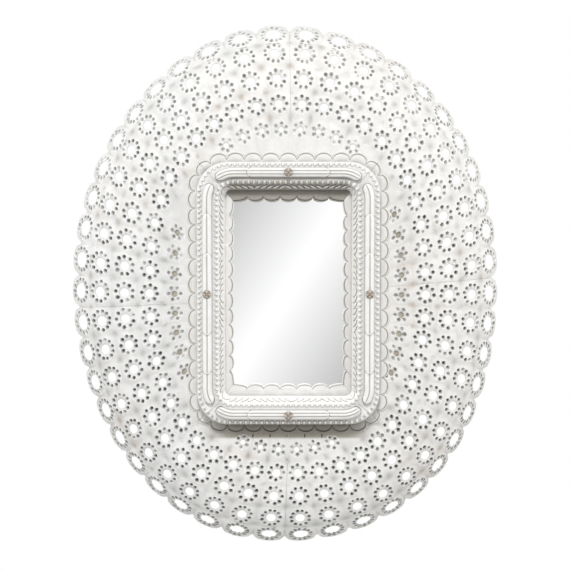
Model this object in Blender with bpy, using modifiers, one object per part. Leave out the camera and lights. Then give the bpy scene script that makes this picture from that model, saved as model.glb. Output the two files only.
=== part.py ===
"""Oval wall mirror: a pierced tin dome on a timber back, with a raised tin moulding round the glass.

Metres, +Z up. The front faces -Y, the wall plane is Y = 0. Left and right are as seen from the front.
"""

import math

import bmesh
import bpy
import numpy as np
from mathutils import Matrix, Vector

MM = 0.001
GAP = 0.3 * MM

# Oval panel
OVAL_WIDTH = 652 * MM
OVAL_HEIGHT = 793 * MM
OVAL_LEFT = 5 * MM
OVAL_UP = 8.5 * MM
OVAL_LEAN = 4.5 * MM
RIM_SQUARENESS = 2.1
INNER_SQUARENESS = 2.4
DOME_DEPTH = 54 * MM
DOME_POWER = 3.4
FLAT_SHARE = 0.6
ARC_SAMPLES = 201
SHEET = 1.0 * MM
WALL_GAP = 2 * MM
SCALLOP_DEPTH = 11 * MM
SCALLOP_STEPS = 4
SEAM_STRAP_WIDTH = 10 * MM
STRAP_SETBACK = 3 * MM

# Flower rows, counted from the rim
RIM_ROW_INSET = 13.7 * MM
SECOND_ROW_INSET = 45 * MM
ROW_PITCH = 37 * MM
FULL_ROWS = 4
RIM_HOLE_RADIUS = 10.6 * MM
ROW_HOLE_RADIUS = 7.2 * MM
INNER_HOLE_RADIUS = 4.5 * MM
HOLE_SIDES = 8
DENT_RING_OUT = 5.4 * MM
DENT_RIM_MARGIN = 1.5 * MM
DENT_DEPTH = 0.8 * MM
FEWER_COLUMNS = 11
MORE_COLUMNS = 12
CELL_PROBE = 0.1
SAME_COLUMN = 0.001

# Moulding, measured outwards from its crest line and forwards from the panel
FRAME_HALF_WIDTH = 120.5 * MM
FRAME_HALF_HEIGHT = 180 * MM
CORNER_RADIUS = 40 * MM
CORNER_GROWTH_IN = 1.2
CORNER_GROWTH_OUT = 0.4
CORNER_STEPS = 3
TIN = 0.8 * MM
FOOT_OUT = 17 * MM
SHOULDER_OUT = 15.5 * MM
SHOULDER_HEIGHT = 20 * MM
BEAD_OUT = 11.5 * MM
LAND_HALF = 8.5 * MM
LAND_HEIGHT = 26 * MM
BEAD_IN = 13.7 * MM
LEAF_TOP_IN = 16.2 * MM
LEAF_TOP_DROP = 2.5 * MM
LEAF_FOOT_IN = 25 * MM
LEAF_FOOT_HEIGHT = 9 * MM
WALL_IN = 26.2 * MM

# Crest strips
CREST_HALF = 7.5 * MM
CREST_RISE = 8 * MM
CREST_ARC_STEPS = 6
CREST_TIP_SHARE = 0.4
CREST_LAST_TURN = math.radians(40)

# Scalloped strips
OUTER_STRIP_IN = 12 * MM
OUTER_VALLEY = 21.5 * MM
OUTER_TIP = 31.5 * MM
OUTER_PITCH = 25.5 * MM
INNER_STRIP_OUT = 19 * MM
INNER_SCALLOP_DEPTH = 6 * MM
INNER_TIP_SIDES = 39.5 * MM
INNER_TIP_ENDS = 44 * MM
INNER_PITCH = 23.5 * MM
INNER_CORNER_RUN = 21 * MM
STRIP_STEPS = 4

# Glass and timber back
GLASS_MARGIN = 14 * MM
GLASS_THICKNESS = 4 * MM
OPENING_MARGIN = 5.5 * MM
OPENING_SQUARENESS = 10
BOARD_OVERLAP_SIDES = 57.5 * MM
BOARD_OVERLAP_ENDS = 16 * MM
BOARD_CORNER = 80 * MM
BOARD_CORNER_STEPS = 6
BOARD_CLEARANCE = 1.2 * MM
BOARD_THICKNESS = 12 * MM
RAIL_WIDTH = 22 * MM
RAIL_INSET_SIDES = 30 * MM
RAIL_INSET_ENDS = 22 * MM

# Fasteners
ROUND_STEPS = 12
NAIL_RADIUS = 1.3 * MM
NAIL_BITE = 10 * MM
ROSETTE_RADIUS = 6.5 * MM
ROSETTE_RISE = 3.5 * MM
ROSETTE_EDGE = 1.2 * MM
ROSETTE_SHOULDER_RADIUS = 3.9 * MM
ROSETTE_SHOULDER_RISE = 2.8 * MM
SCREW_RADIUS = 2 * MM
SCREW_HEAD_RADIUS = 4 * MM
SCREW_HEAD_HEIGHT = 2.5 * MM
SCREW_BITE = 9 * MM
SCREW_SINK = 3 * MM
STILE_SCREW_INSET = 53 * MM
RAIL_SCREW_INSET = 57 * MM

# Hanger on the back of the board
STRAP_WIDTH = 13 * MM
STRAP_LENGTH = 36 * MM
STRAP_THICKNESS = 1.5 * MM
STRAP_SCREW_RADIUS = 1.5 * MM
STRAP_SCREW_HEAD = 3.2 * MM
EYE_OUTER = 3.2 * MM
EYE_INNER = 2 * MM
STRAP_BELOW_RAIL = 12 * MM
RING_WIRE = 1.3 * MM
RING_HALF_WIDTH = 12 * MM
RING_DROP = 24 * MM
RING_CORNER = 5 * MM
RING_CORNER_STEPS = 4
STRAP_SCREW_SHARES = {"lower": 0.36, "upper": 0.86}

# Places that follow from the sizes above
SEAM_STRAP_GAP = DENT_DEPTH + GAP
PANEL_Y = -(WALL_GAP + DOME_DEPTH)
BOARD_FRONT = PANEL_Y + SHEET + BOARD_CLEARANCE
BOARD_BACK = BOARD_FRONT + BOARD_THICKNESS
RAIL_FRONT = BOARD_BACK + GAP
GLASS_BACK = BOARD_FRONT - GAP
GLASS_FRONT = GLASS_BACK - GLASS_THICKNESS
GLASS_HEIGHT = PANEL_Y - GLASS_FRONT
OPENING_HALF_WIDTH = FRAME_HALF_WIDTH + OPENING_MARGIN
OPENING_HALF_HEIGHT = FRAME_HALF_HEIGHT + OPENING_MARGIN
BOARD_HALF_WIDTH = FRAME_HALF_WIDTH + BOARD_OVERLAP_SIDES
BOARD_HALF_HEIGHT = FRAME_HALF_HEIGHT + BOARD_OVERLAP_ENDS
STILE_X = BOARD_HALF_WIDTH - RAIL_INSET_SIDES - RAIL_WIDTH / 2
RAIL_Z = BOARD_HALF_HEIGHT - RAIL_INSET_ENDS - RAIL_WIDTH / 2
STILE_SCREW_HEIGHT = RAIL_Z - STILE_SCREW_INSET
RAIL_SCREW_X = STILE_X - RAIL_SCREW_INSET
EYE_HEIGHT = RAIL_Z - RAIL_WIDTH / 2 - STRAP_BELOW_RAIL - STRAP_LENGTH
ROW_INSETS = [RIM_ROW_INSET] + [SECOND_ROW_INSET + ROW_PITCH * row for row in range(FULL_ROWS)]
BAND_INSETS = [0.0] + [(a + b) / 2 for a, b in zip(ROW_INSETS, ROW_INSETS[1:])]
HOLE_RADII = [RIM_HOLE_RADIUS] + [ROW_HOLE_RADIUS] * (FULL_ROWS - 1) + [INNER_HOLE_RADIUS]
MOULDING_PROFILE = [
    (FOOT_OUT, TIN + 2 * GAP),
    (SHOULDER_OUT, SHOULDER_HEIGHT),
    (BEAD_OUT, LAND_HEIGHT - TIN),
    (LAND_HALF, LAND_HEIGHT),
    (-LAND_HALF, LAND_HEIGHT),
    (-BEAD_IN, LAND_HEIGHT - TIN),
    (-LEAF_TOP_IN, LAND_HEIGHT - LEAF_TOP_DROP),
    (-LEAF_FOOT_IN, LEAF_FOOT_HEIGHT),
    (-WALL_IN, GLASS_HEIGHT + TIN + 2 * GAP),
]

# Seams between the quadrants, as ellipse angles counted from the right
SEAMS = {
    "right": math.radians(2.0),
    "top": math.radians(88.8),
    "left": math.radians(184.7),
    "bottom": math.radians(269.8),
}
FULL_TURN = 2 * math.pi

# Quadrants: name, seams before and after it, columns, inner flowers next to the first and the last seam
QUADRANTS = [
    ("top_right", SEAMS["right"], SEAMS["top"], FEWER_COLUMNS, 4, 4),
    ("top_left", SEAMS["top"], SEAMS["left"], MORE_COLUMNS, 4, 4),
    ("bottom_left", SEAMS["left"], SEAMS["bottom"], FEWER_COLUMNS, 4, 3),
    ("bottom_right", SEAMS["bottom"], SEAMS["right"] + FULL_TURN, MORE_COLUMNS, 3, 5),
]

# Sides of the moulding: name, outward direction in X and Z
SIDES = [("top", (0, 1)), ("right", (1, 0)), ("bottom", (0, -1)), ("left", (-1, 0))]


def clear_scene():
    for obj in list(bpy.data.objects):
        bpy.data.objects.remove(obj)


def new_collection(name):
    made = bpy.data.collections.new(name)
    bpy.context.scene.collection.children.link(made)
    return made


def material(name, colour, roughness, metallic):
    made = bpy.data.materials.new(name)
    made.use_nodes = True
    shader = made.node_tree.nodes["Principled BSDF"]
    shader.inputs["Base Color"].default_value = (*colour, 1)
    shader.inputs["Roughness"].default_value = roughness
    shader.inputs["Metallic"].default_value = metallic
    return made


def add_part(name, data, finish, smooth=False):
    obj = bpy.data.objects.new(name, data)
    PARTS.objects.link(obj)
    data.materials.append(finish)
    if smooth:
        data.shade_smooth()
    return obj


def mesh_from(name, shape):
    data = bpy.data.meshes.new(name)
    shape.to_mesh(data)
    shape.free()
    return data


def add_shell(obj, thickness):
    shell = obj.modifiers.new("Sheet thickness", "SOLIDIFY")
    shell.thickness = thickness
    shell.offset = -1


def add_cut(obj, cutter):
    cut = obj.modifiers.new("Cut " + cutter.name, "BOOLEAN")
    cut.operation = "DIFFERENCE"
    cut.solver = "EXACT"
    cut.object = cutter


def face_forwards(shape):
    """Turns every face of an open sheet so that the front side looks towards -Y."""
    shape.normal_update()
    if sum(face.normal.y * face.calc_area() for face in shape.faces) > 0:
        bmesh.ops.reverse_faces(shape, faces=shape.faces[:])


def place_grid(columns, rows, place):
    """A grid of faces with each corner (column, row) put where place() says."""
    shape = bmesh.new()
    bmesh.ops.create_grid(shape, x_segments=columns, y_segments=rows, size=0.5)
    for vert in shape.verts:
        column = round((vert.co.x + 0.5) * columns)
        row = round((vert.co.y + 0.5) * rows)
        vert.co = place(column, row)
    face_forwards(shape)
    return shape


def lathe(profile, steps=ROUND_STEPS):
    """A turned solid about Z from (radius, height) points that start and end on the axis."""
    shape = bmesh.new()
    points = [shape.verts.new((radius, 0, height)) for radius, height in profile]
    edges = [shape.edges.new(pair) for pair in zip(points, points[1:])]
    bmesh.ops.spin(shape, geom=points + edges, axis=(0, 0, 1), angle=2 * math.pi, steps=steps)
    bmesh.ops.remove_doubles(shape, verts=shape.verts[:], dist=GAP / 100)
    bmesh.ops.recalc_face_normals(shape, faces=shape.faces[:])
    return shape


def point_forwards(shape, place):
    """Turns a lathed shape so that its +Z end looks to the front, and moves it to its place."""
    turn = Matrix.Translation(place) @ Matrix.Rotation(math.pi / 2, 4, "X")
    bmesh.ops.transform(shape, matrix=turn, verts=shape.verts[:])
    return shape


def point_backwards(shape, place):
    turn = Matrix.Translation(place) @ Matrix.Rotation(-math.pi / 2, 4, "X")
    bmesh.ops.transform(shape, matrix=turn, verts=shape.verts[:])
    return shape


def add_cutter(name, shape):
    cutter = bpy.data.objects.new(name, mesh_from(name, shape))
    CUTTERS.objects.link(cutter)
    cutter.hide_render = True
    cutter.display_type = "WIRE"
    return cutter


def flat_curve(name, outlines, thickness):
    """A flat plate in X and Y: the first outline filled, the others cut out of it."""
    curve = bpy.data.curves.new(name, "CURVE")
    curve.dimensions = "2D"
    curve.fill_mode = "BOTH"
    curve.extrude = thickness / 2
    for outline in outlines:
        spline = curve.splines.new("POLY")
        spline.points.add(len(outline) - 1)
        for point, (x, y) in zip(spline.points, outline):
            point.co = (x, y, 0, 1)
        spline.use_cyclic_u = True
    return curve


def add_plate(name, outlines, thickness, front_y, finish):
    """A plate that stands upright, its outlines in X and Z and its front face at front_y."""
    obj = add_part(name, flat_curve(name, outlines, thickness), finish)
    obj.rotation_euler.x = math.pi / 2
    obj.location.y = front_y + thickness / 2
    return obj


def circle(x, y, radius, steps=ROUND_STEPS):
    turns = [2 * math.pi * step / steps for step in range(steps)]
    return [(x + radius * math.cos(turn), y + radius * math.sin(turn)) for turn in turns]


def rounded_rectangle(half_width, low, high, radius, steps):
    """Outline of an upright rectangle with an arc of so many steps at each corner."""
    outline = []
    for quarter in range(4):
        middle = (quarter + 0.5) * math.pi / 2
        x = math.copysign(half_width - radius, math.cos(middle))
        y = high - radius if math.sin(middle) > 0 else low + radius
        for step in range(steps + 1):
            turn = (quarter + step / steps) * math.pi / 2
            outline.append((x + radius * math.cos(turn), y + radius * math.sin(turn)))
    return outline


def add_box(name, centre, size, finish):
    shape = bmesh.new()
    bmesh.ops.create_cube(shape, size=1)
    bmesh.ops.scale(shape, vec=size, verts=shape.verts[:])
    bmesh.ops.translate(shape, vec=centre, verts=shape.verts[:])
    return add_part(name, mesh_from(name, shape), finish)


# Oval panel
def ring_point(half_width, half_height, squareness, angle):
    """Point (x, z) of a squarish oval in the direction of an ellipse angle."""
    across = math.cos(angle)
    up = math.sin(angle)
    reach = (abs(across) ** squareness + abs(up) ** squareness) ** (-1 / squareness)
    return half_width * reach * across, half_height * reach * up


def dome(inset):
    """How far the panel falls back towards the wall at this inset from the rim."""
    share = 1 - 4 * inset / (OVAL_WIDTH + OVAL_HEIGHT)
    fall = max(0.0, share - FLAT_SHARE) / (1 - FLAT_SHARE)
    return DOME_DEPTH * fall**DOME_POWER


def panel_point(angle, inset):
    """Point of the panel's front face at an ellipse angle and an inset from the rim.

    The hand-cut oval leans to the lower right: the rim between its four quarter points, the rows all round.
    """
    inner = inset / BAND_INSETS[-1]
    squareness = RIM_SQUARENESS + (INNER_SQUARENESS - RIM_SQUARENESS) * inner
    lean = OVAL_LEAN * (inner + (1 - inner) * math.sin(2 * angle) ** 2)
    x, z = ring_point(OVAL_WIDTH / 2 - inset, OVAL_HEIGHT / 2 - inset, squareness, angle)
    return Vector((x - OVAL_LEFT + lean, PANEL_Y + dome(inset), z + OVAL_UP - lean))


def panel_normal(angle, inset):
    """Direction out of the panel's front face."""
    along = Vector((-math.sin(angle), 0, math.cos(angle)))
    inward = panel_point(angle, inset + MM) - panel_point(angle, inset - MM)
    return along.cross(inward).normalized()


def opening_point(angle):
    x, z = ring_point(OPENING_HALF_WIDTH, OPENING_HALF_HEIGHT, OPENING_SQUARENESS, angle)
    return Vector((x, PANEL_Y, z))


def column_angles(first, last, columns):
    """Angles of the columns between two seams, evenly spaced round the middle row, as a function."""
    angles = np.linspace(first, last, ARC_SAMPLES)
    points = np.array([panel_point(angle, ROW_INSETS[FULL_ROWS // 2]) for angle in angles])
    steps = np.linalg.norm(np.diff(points, axis=0), axis=1)
    run = np.concatenate([[0], np.cumsum(steps)])
    return lambda column: float(np.interp(column / columns * run[-1], run, angles))


def rim_scallop(column):
    """Inset of the rim: nothing at a column's middle, the scallop's depth between two columns."""
    across = 2 * (column % 1) - 1
    return SCALLOP_DEPTH * (1 - math.sqrt(1 - across**2))


def sheet_inset(column, band):
    if band == 0:
        return rim_scallop(column)
    outer = int(band)
    return BAND_INSETS[outer] + (band - outer) * (BAND_INSETS[outer + 1] - BAND_INSETS[outer])


def sheet_point(angle, column, band, depth=0.0):
    """Point of the panel from a column number and a band number, where the rim is 0, sunk to a depth."""
    if band >= FULL_ROWS:
        outer = panel_point(angle, BAND_INSETS[FULL_ROWS])
        return outer.lerp(opening_point(angle), band - FULL_ROWS) + Vector((0, depth, 0))
    inset = sheet_inset(column, band)
    return panel_point(angle, inset) - panel_normal(angle, inset) * depth


def punched_ring(shape, column, band, half_across, half_down, sunk):
    """A ring of edges in column and band numbers. A sunk one stands for the dents round a hole."""
    place = Matrix.Translation((column, band, -sunk)) @ Matrix.Diagonal((half_across, half_down, 1, 1))
    ring = bmesh.ops.create_circle(shape, segments=HOLE_SIDES, radius=1, matrix=place)["verts"]
    return list({edge for vert in ring for edge in vert.link_edges})


def punch_flower(shape, face, angle_of, column, row):
    """Swaps a panel face for a sunk ring of faces round a punched hole. All in column and band numbers."""
    angle = angle_of(column + 0.5)
    if row < FULL_ROWS:
        middle = row + (ROW_INSETS[row] - BAND_INSETS[row]) / (BAND_INSETS[row + 1] - BAND_INSETS[row])
    else:
        reach = (opening_point(angle) - panel_point(angle, BAND_INSETS[row])).length
        middle = row + (ROW_INSETS[row] - BAND_INSETS[row]) / reach
    across = sheet_point(angle_of(column + 0.5 + CELL_PROBE), column + 0.5, middle)
    down = sheet_point(angle, column + 0.5, middle + CELL_PROBE)
    centre = sheet_point(angle, column + 0.5, middle)
    columns_long = CELL_PROBE / (across - centre).length
    bands_long = CELL_PROBE / (down - centre).length
    hole = HOLE_RADII[row]
    wide = hole + DENT_RING_OUT
    high = min(wide, ROW_INSETS[row] - BAND_INSETS[row] - DENT_RIM_MARGIN)
    cell = list(face.edges)
    bmesh.ops.delete(shape, geom=[face], context="FACES_ONLY")
    dents = punched_ring(shape, column + 0.5, middle, wide * columns_long, high * bands_long, 1)
    mouth = punched_ring(shape, column + 0.5, middle, hole * columns_long, hole * bands_long, 0)
    bmesh.ops.bridge_loops(shape, edges=cell + dents)
    bmesh.ops.bridge_loops(shape, edges=dents + mouth)


def add_panel(name, first, last, columns, first_run, last_run, finish):
    """One quarter of the dome: a grid of flower cells, punched, then laid on the dome."""
    angle_of = column_angles(first, last, columns)
    bands = FULL_ROWS + 1
    shape = bmesh.new()
    bmesh.ops.create_grid(shape, x_segments=columns, y_segments=bands, size=0.5)
    bmesh.ops.translate(shape, vec=(0.5, 0.5, 0), verts=shape.verts[:])
    bmesh.ops.scale(shape, vec=(columns, bands, 1), verts=shape.verts[:])
    rim = [edge for edge in shape.edges if max(vert.co.y for vert in edge.verts) < 0.5]
    for edge in rim:
        bmesh.ops.subdivide_edges(shape, edges=[edge], cuts=SCALLOP_STEPS - 1, use_grid_fill=False)
    for face in shape.faces[:]:
        middle = face.calc_center_bounds()
        column = int(middle.x)
        row = int(middle.y)
        if row < FULL_ROWS or column < first_run or column >= columns - last_run:
            punch_flower(shape, face, angle_of, column, row)
    way_at_first_seam = Vector((-math.sin(first), 0, math.cos(first)))
    way_at_last_seam = Vector((-math.sin(last), 0, math.cos(last)))
    for vert in shape.verts:
        column = vert.co.x
        vert.co = sheet_point(angle_of(column), column, vert.co.y, -vert.co.z * DENT_DEPTH)
        if column < SAME_COLUMN:
            vert.co += way_at_first_seam * GAP / 2
        if column > columns - SAME_COLUMN:
            vert.co -= way_at_last_seam * GAP / 2
    face_forwards(shape)
    obj = add_part(name, mesh_from(name, shape), finish, smooth=True)
    add_shell(obj, SHEET)
    return obj


def seam_point(start, across, inset, lift):
    """Point beside a seam: across is sideways, lift is how far behind the panel's front face."""
    sideways = Vector((-math.sin(start), 0, math.cos(start)))
    return panel_point(start, inset) + sideways * across - panel_normal(start, inset) * lift


def seam_strap_end(start):
    """Inset at which a seam strap stops, short of the board's edge and of the innermost band."""
    outward = Vector((math.cos(start), 0, math.sin(start)))
    board_reach = abs(outward.x) * BOARD_HALF_WIDTH + abs(outward.z) * BOARD_HALF_HEIGHT
    board_inset = panel_point(start, 0).dot(outward) - board_reach
    return min(BAND_INSETS[-1], board_inset) - STRAP_SETBACK


def add_seam_strap(name, start, finish):
    """A narrow strip behind a seam, with the same bends as the panel's edge."""
    end = seam_strap_end(start)
    bends = [inset for inset in BAND_INSETS[1:] if inset < end]
    stops = [SCALLOP_DEPTH + STRAP_SETBACK] + bends + [end]

    def place(column, row):
        return seam_point(start, (column - 0.5) * SEAM_STRAP_WIDTH, stops[row], SHEET + SEAM_STRAP_GAP)

    obj = add_part(name, mesh_from(name, place_grid(1, len(stops) - 1, place)), finish)
    add_shell(obj, SHEET)
    return obj


# Moulding round the glass
def side_halves(outward):
    """Half length along a side and half distance across the frame, both on the crest line."""
    if outward[0]:
        return FRAME_HALF_HEIGHT, FRAME_HALF_WIDTH
    return FRAME_HALF_WIDTH, FRAME_HALF_HEIGHT


def side_place(outward, along, out, height):
    """World point from a distance along a side, a distance out from the frame's centre and a height."""
    x = outward[0] * out + outward[1] * along
    z = outward[1] * out - outward[0] * along
    return Vector((x, PANEL_Y - height, z))


def corner_radius(offset):
    growth = CORNER_GROWTH_OUT if offset > 0 else CORNER_GROWTH_IN
    return CORNER_RADIUS + growth * offset


def frame_point(outward, end, turn, offset, height):
    """Point of the moulding: end is -1 or 1 for the side's ends, turn the angle round the corner there."""
    half_along, half_out = side_halves(outward)
    radius = corner_radius(offset)
    along = end * (half_along + offset - radius + radius * math.sin(turn))
    out = half_out + offset - radius + radius * math.cos(turn)
    return side_place(outward, along, out + GAP, height)


def side_stations(last_turn):
    """(end, turn) pairs from one mitre of a side to the other."""
    turns = [last_turn * step / CORNER_STEPS for step in range(CORNER_STEPS + 1)]
    return [(-1, turn) for turn in reversed(turns)] + [(1, turn) for turn in turns]


def add_moulding(name, outward, finish):
    stations = side_stations(math.pi / 4)

    def place(column, row):
        return frame_point(outward, *stations[column], *MOULDING_PROFILE[row])

    shape = place_grid(len(stations) - 1, len(MOULDING_PROFILE) - 1, place)
    obj = add_part(name, mesh_from(name, shape), finish)
    add_shell(obj, TIN)
    return obj


def add_crest(name, outward, finish):
    """A half-round strip along the top of a side, narrowing to its tips."""
    stations = side_stations(CREST_LAST_TURN)
    last = len(stations) - 1

    def place(column, row):
        share = CREST_TIP_SHARE if column in (0, last) else 1
        lean = math.pi * row / CREST_ARC_STEPS
        offset = CREST_HALF * share * math.cos(lean)
        height = LAND_HEIGHT + GAP + TIN + (CREST_RISE - TIN) * share * math.sin(lean)
        return frame_point(outward, *stations[column], offset, height)

    shape = place_grid(last, CREST_ARC_STEPS, place)
    obj = add_part(name, mesh_from(name, shape), finish, smooth=True)
    add_shell(obj, TIN)
    return obj


def bow(share):
    """Height of a scallop from 0 to 1 at a share of its width."""
    return math.sqrt(max(0.0, 1 - (2 * share - 1) ** 2))


def outer_strip_outline(outward):
    """Outline (x, z) of a strip along a side and half of each corner, with half a scallop at each end."""
    half_along, half_out = side_halves(outward)
    radius = corner_radius(OUTER_VALLEY)
    straight = half_along + OUTER_VALLEY - radius
    half_run = straight + radius * math.pi / 4
    count = max(3, round(2 * half_run / OUTER_PITCH))

    def place(run, extra):
        end = math.copysign(1, run)
        turn = max(0.0, abs(run) - straight) / radius
        along = end * (min(abs(run), straight) + (radius + extra) * math.sin(turn))
        out = half_out + OUTER_VALLEY - radius + (radius + extra) * math.cos(turn)
        point = side_place(outward, along, out + GAP, 0)
        return point.x, point.z

    steps = count * STRIP_STEPS
    runs = [half_run * (2 * step / steps - 1) for step in range(steps + 1)]
    shares = [(step / STRIP_STEPS + 0.5) % 1 for step in range(steps + 1)]
    tips = [bow(share) * (OUTER_TIP - OUTER_VALLEY) for share in shares]
    back = [-half_run, -straight, straight, half_run]
    outline = [place(run, tip) for run, tip in zip(runs, tips)]
    return outline + [place(run, OUTER_STRIP_IN - OUTER_VALLEY) for run in reversed(back)]


def inner_strip_outline(outward):
    """Outline (x, z) of a mitred strip with scallops that point at the glass and half ones at its ends."""
    half_along, half_out = side_halves(outward)
    tip_along, tip_out = INNER_TIP_SIDES, INNER_TIP_ENDS
    if outward[0]:
        tip_along, tip_out = tip_out, tip_along
    half_run = half_along - tip_along
    count = max(1, round(2 * (half_run - INNER_CORNER_RUN) / INNER_PITCH))
    pitch = 2 * (half_run - INNER_CORNER_RUN) / count
    first = INNER_CORNER_RUN - half_run
    points = []
    for step in range(STRIP_STEPS):
        share = 0.5 + 0.5 * step / STRIP_STEPS
        points.append((first + (2 * share - 2) * INNER_CORNER_RUN, bow(share)))
    for step in range(count * STRIP_STEPS + 1):
        points.append((first + pitch * step / STRIP_STEPS, bow(step / STRIP_STEPS % 1)))
    points += [(-along, rise) for along, rise in reversed(points[:STRIP_STEPS])]
    valley = half_out - tip_out + INNER_SCALLOP_DEPTH
    edge = [(along, valley - INNER_SCALLOP_DEPTH * rise) for along, rise in points]
    far = half_along - INNER_STRIP_OUT
    edge += [(far, half_out - INNER_STRIP_OUT), (-far, half_out - INNER_STRIP_OUT)]
    places = [side_place(outward, along, out + GAP, 0) for along, out in edge]
    return [(place.x, place.z) for place in places]


# Glass and timber back
def add_glass(finish):
    width = 2 * (FRAME_HALF_WIDTH - GLASS_MARGIN)
    height = 2 * (FRAME_HALF_HEIGHT - GLASS_MARGIN)
    middle = (0, GLASS_BACK - GLASS_THICKNESS / 2, 0)
    return add_box("mirror_glass", middle, (width, GLASS_THICKNESS, height), finish)


def nail_places():
    return {name: (x * FRAME_HALF_WIDTH, z * FRAME_HALF_HEIGHT) for name, (x, z) in SIDES}


def rail_screw_places():
    """Screws that hold the rails to the board, by the rail they go through."""
    return {
        "stile_left": [(-STILE_X, STILE_SCREW_HEIGHT), (-STILE_X, -STILE_SCREW_HEIGHT)],
        "stile_right": [(STILE_X, STILE_SCREW_HEIGHT), (STILE_X, -STILE_SCREW_HEIGHT)],
        "rail_top": [(0, RAIL_Z)],
        "rail_middle": [(-RAIL_SCREW_X, 0), (RAIL_SCREW_X, 0)],
        "rail_bottom": [(0, -RAIL_Z)],
    }


def strap_screw_places():
    return {name: (0, EYE_HEIGHT + share * STRAP_LENGTH) for name, share in STRAP_SCREW_SHARES.items()}


def add_board(finish):
    holes = [circle(x, z, NAIL_RADIUS + GAP, HOLE_SIDES) for x, z in nail_places().values()]
    for places in rail_screw_places().values():
        holes += [circle(x, z, SCREW_RADIUS + GAP, HOLE_SIDES) for x, z in places]
    holes += [circle(x, z, STRAP_SCREW_RADIUS + GAP, HOLE_SIDES) for x, z in strap_screw_places().values()]
    ends = (-BOARD_HALF_HEIGHT, BOARD_HALF_HEIGHT)
    outline = rounded_rectangle(BOARD_HALF_WIDTH, *ends, BOARD_CORNER, BOARD_CORNER_STEPS)
    return add_plate("backing_board", [outline] + holes, BOARD_THICKNESS, BOARD_FRONT, finish)


def add_rails(finish):
    """Two upright stiles with three rails between them, standing between the board and the wall."""
    depth = -RAIL_FRONT
    middle_y = RAIL_FRONT / 2
    span = 2 * (STILE_X - RAIL_WIDTH / 2 - GAP)
    height = 2 * (RAIL_Z + RAIL_WIDTH / 2)
    rails = {
        "stile_left": add_box("stile_left", (-STILE_X, middle_y, 0), (RAIL_WIDTH, depth, height), finish),
        "stile_right": add_box("stile_right", (STILE_X, middle_y, 0), (RAIL_WIDTH, depth, height), finish),
    }
    for name, z in (("rail_top", RAIL_Z), ("rail_middle", 0), ("rail_bottom", -RAIL_Z)):
        rails[name] = add_box(name, (0, middle_y, z), (span, depth, RAIL_WIDTH), finish)
    return rails


def screw_profile(radius, head_radius, head_height, length):
    head = [(0, head_height), (head_radius, head_height), (head_radius, 0)]
    return head + [(radius, 0), (radius, -length), (0, -length)]


def add_rail_screws(rails, finish):
    """Screws from the back, sunk below the wall face, through each rail into the board."""
    seat = -SCREW_SINK - SCREW_HEAD_HEIGHT
    length = seat - RAIL_FRONT + GAP + SCREW_BITE
    profile = screw_profile(SCREW_RADIUS, SCREW_HEAD_RADIUS, SCREW_HEAD_HEIGHT, length)
    mouth = SCREW_HEAD_HEIGHT + 2 * SCREW_SINK
    bore = screw_profile(SCREW_RADIUS + GAP, SCREW_HEAD_RADIUS + GAP, mouth, 2 * length)
    for rail, places in rail_screw_places().items():
        for number, (x, z) in enumerate(places, 1):
            name = f"screw_{rail}_{number}"
            shape = point_backwards(lathe(profile), (x, seat, z))
            add_part(name, mesh_from(name, shape), finish, smooth=True)
            hole = point_backwards(lathe(bore), (x, seat - GAP, z))
            add_cut(rails[rail], add_cutter("bore_" + name, hole))


def add_nails(mouldings, crests, finish):
    """A rosette-headed nail through the middle of each side into the board."""
    seat = PANEL_Y - LAND_HEIGHT - CREST_RISE - 2 * GAP
    length = BOARD_FRONT + NAIL_BITE - seat
    profile = [
        (0, ROSETTE_RISE),
        (ROSETTE_SHOULDER_RADIUS, ROSETTE_SHOULDER_RISE),
        (ROSETTE_RADIUS, ROSETTE_EDGE),
        (ROSETTE_RADIUS, 0),
        (NAIL_RADIUS, 0),
        (NAIL_RADIUS, -length),
        (0, -length),
    ]
    reach = NAIL_RADIUS + GAP
    bore = [(0, LAND_HEIGHT), (reach, LAND_HEIGHT), (reach, -LAND_HEIGHT), (0, -LAND_HEIGHT)]
    for side, (x, z) in nail_places().items():
        name = "rosette_nail_" + side
        shape = point_forwards(lathe(profile), (x, seat, z))
        add_part(name, mesh_from(name, shape), finish, smooth=True)
        hole = point_forwards(lathe(bore, HOLE_SIDES), (x, PANEL_Y - LAND_HEIGHT, z))
        cutter = add_cutter("bore_" + name, hole)
        add_cut(mouldings[side], cutter)
        add_cut(crests[side], cutter)


# Hanger
def strap_outline():
    """Side view of the strap in (behind the board, up), with a rolled eye at its foot."""
    meet = math.acos((STRAP_THICKNESS - EYE_OUTER) / EYE_OUTER)
    turns = [math.pi + (meet + math.pi) * step / ROUND_STEPS for step in range(ROUND_STEPS + 1)]
    eye = [(EYE_OUTER + EYE_OUTER * math.cos(turn), EYE_OUTER * math.sin(turn)) for turn in turns]
    return [(0, STRAP_LENGTH)] + eye + [(STRAP_THICKNESS, STRAP_LENGTH)]


def solid_from_curve(curve, matrix):
    """The mesh of a filled curve, welded where its caps meet its sides, and moved by the matrix."""
    helper = bpy.data.objects.new(curve.name + "_outline", curve)
    data = bpy.data.meshes.new_from_object(helper)
    bpy.data.objects.remove(helper)
    shape = bmesh.new()
    shape.from_mesh(data)
    bpy.data.meshes.remove(data)
    bmesh.ops.remove_doubles(shape, verts=shape.verts[:], dist=GAP / 100)
    bmesh.ops.transform(shape, matrix=matrix, verts=shape.verts[:])
    bmesh.ops.recalc_face_normals(shape, faces=shape.faces[:])
    return shape


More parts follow.
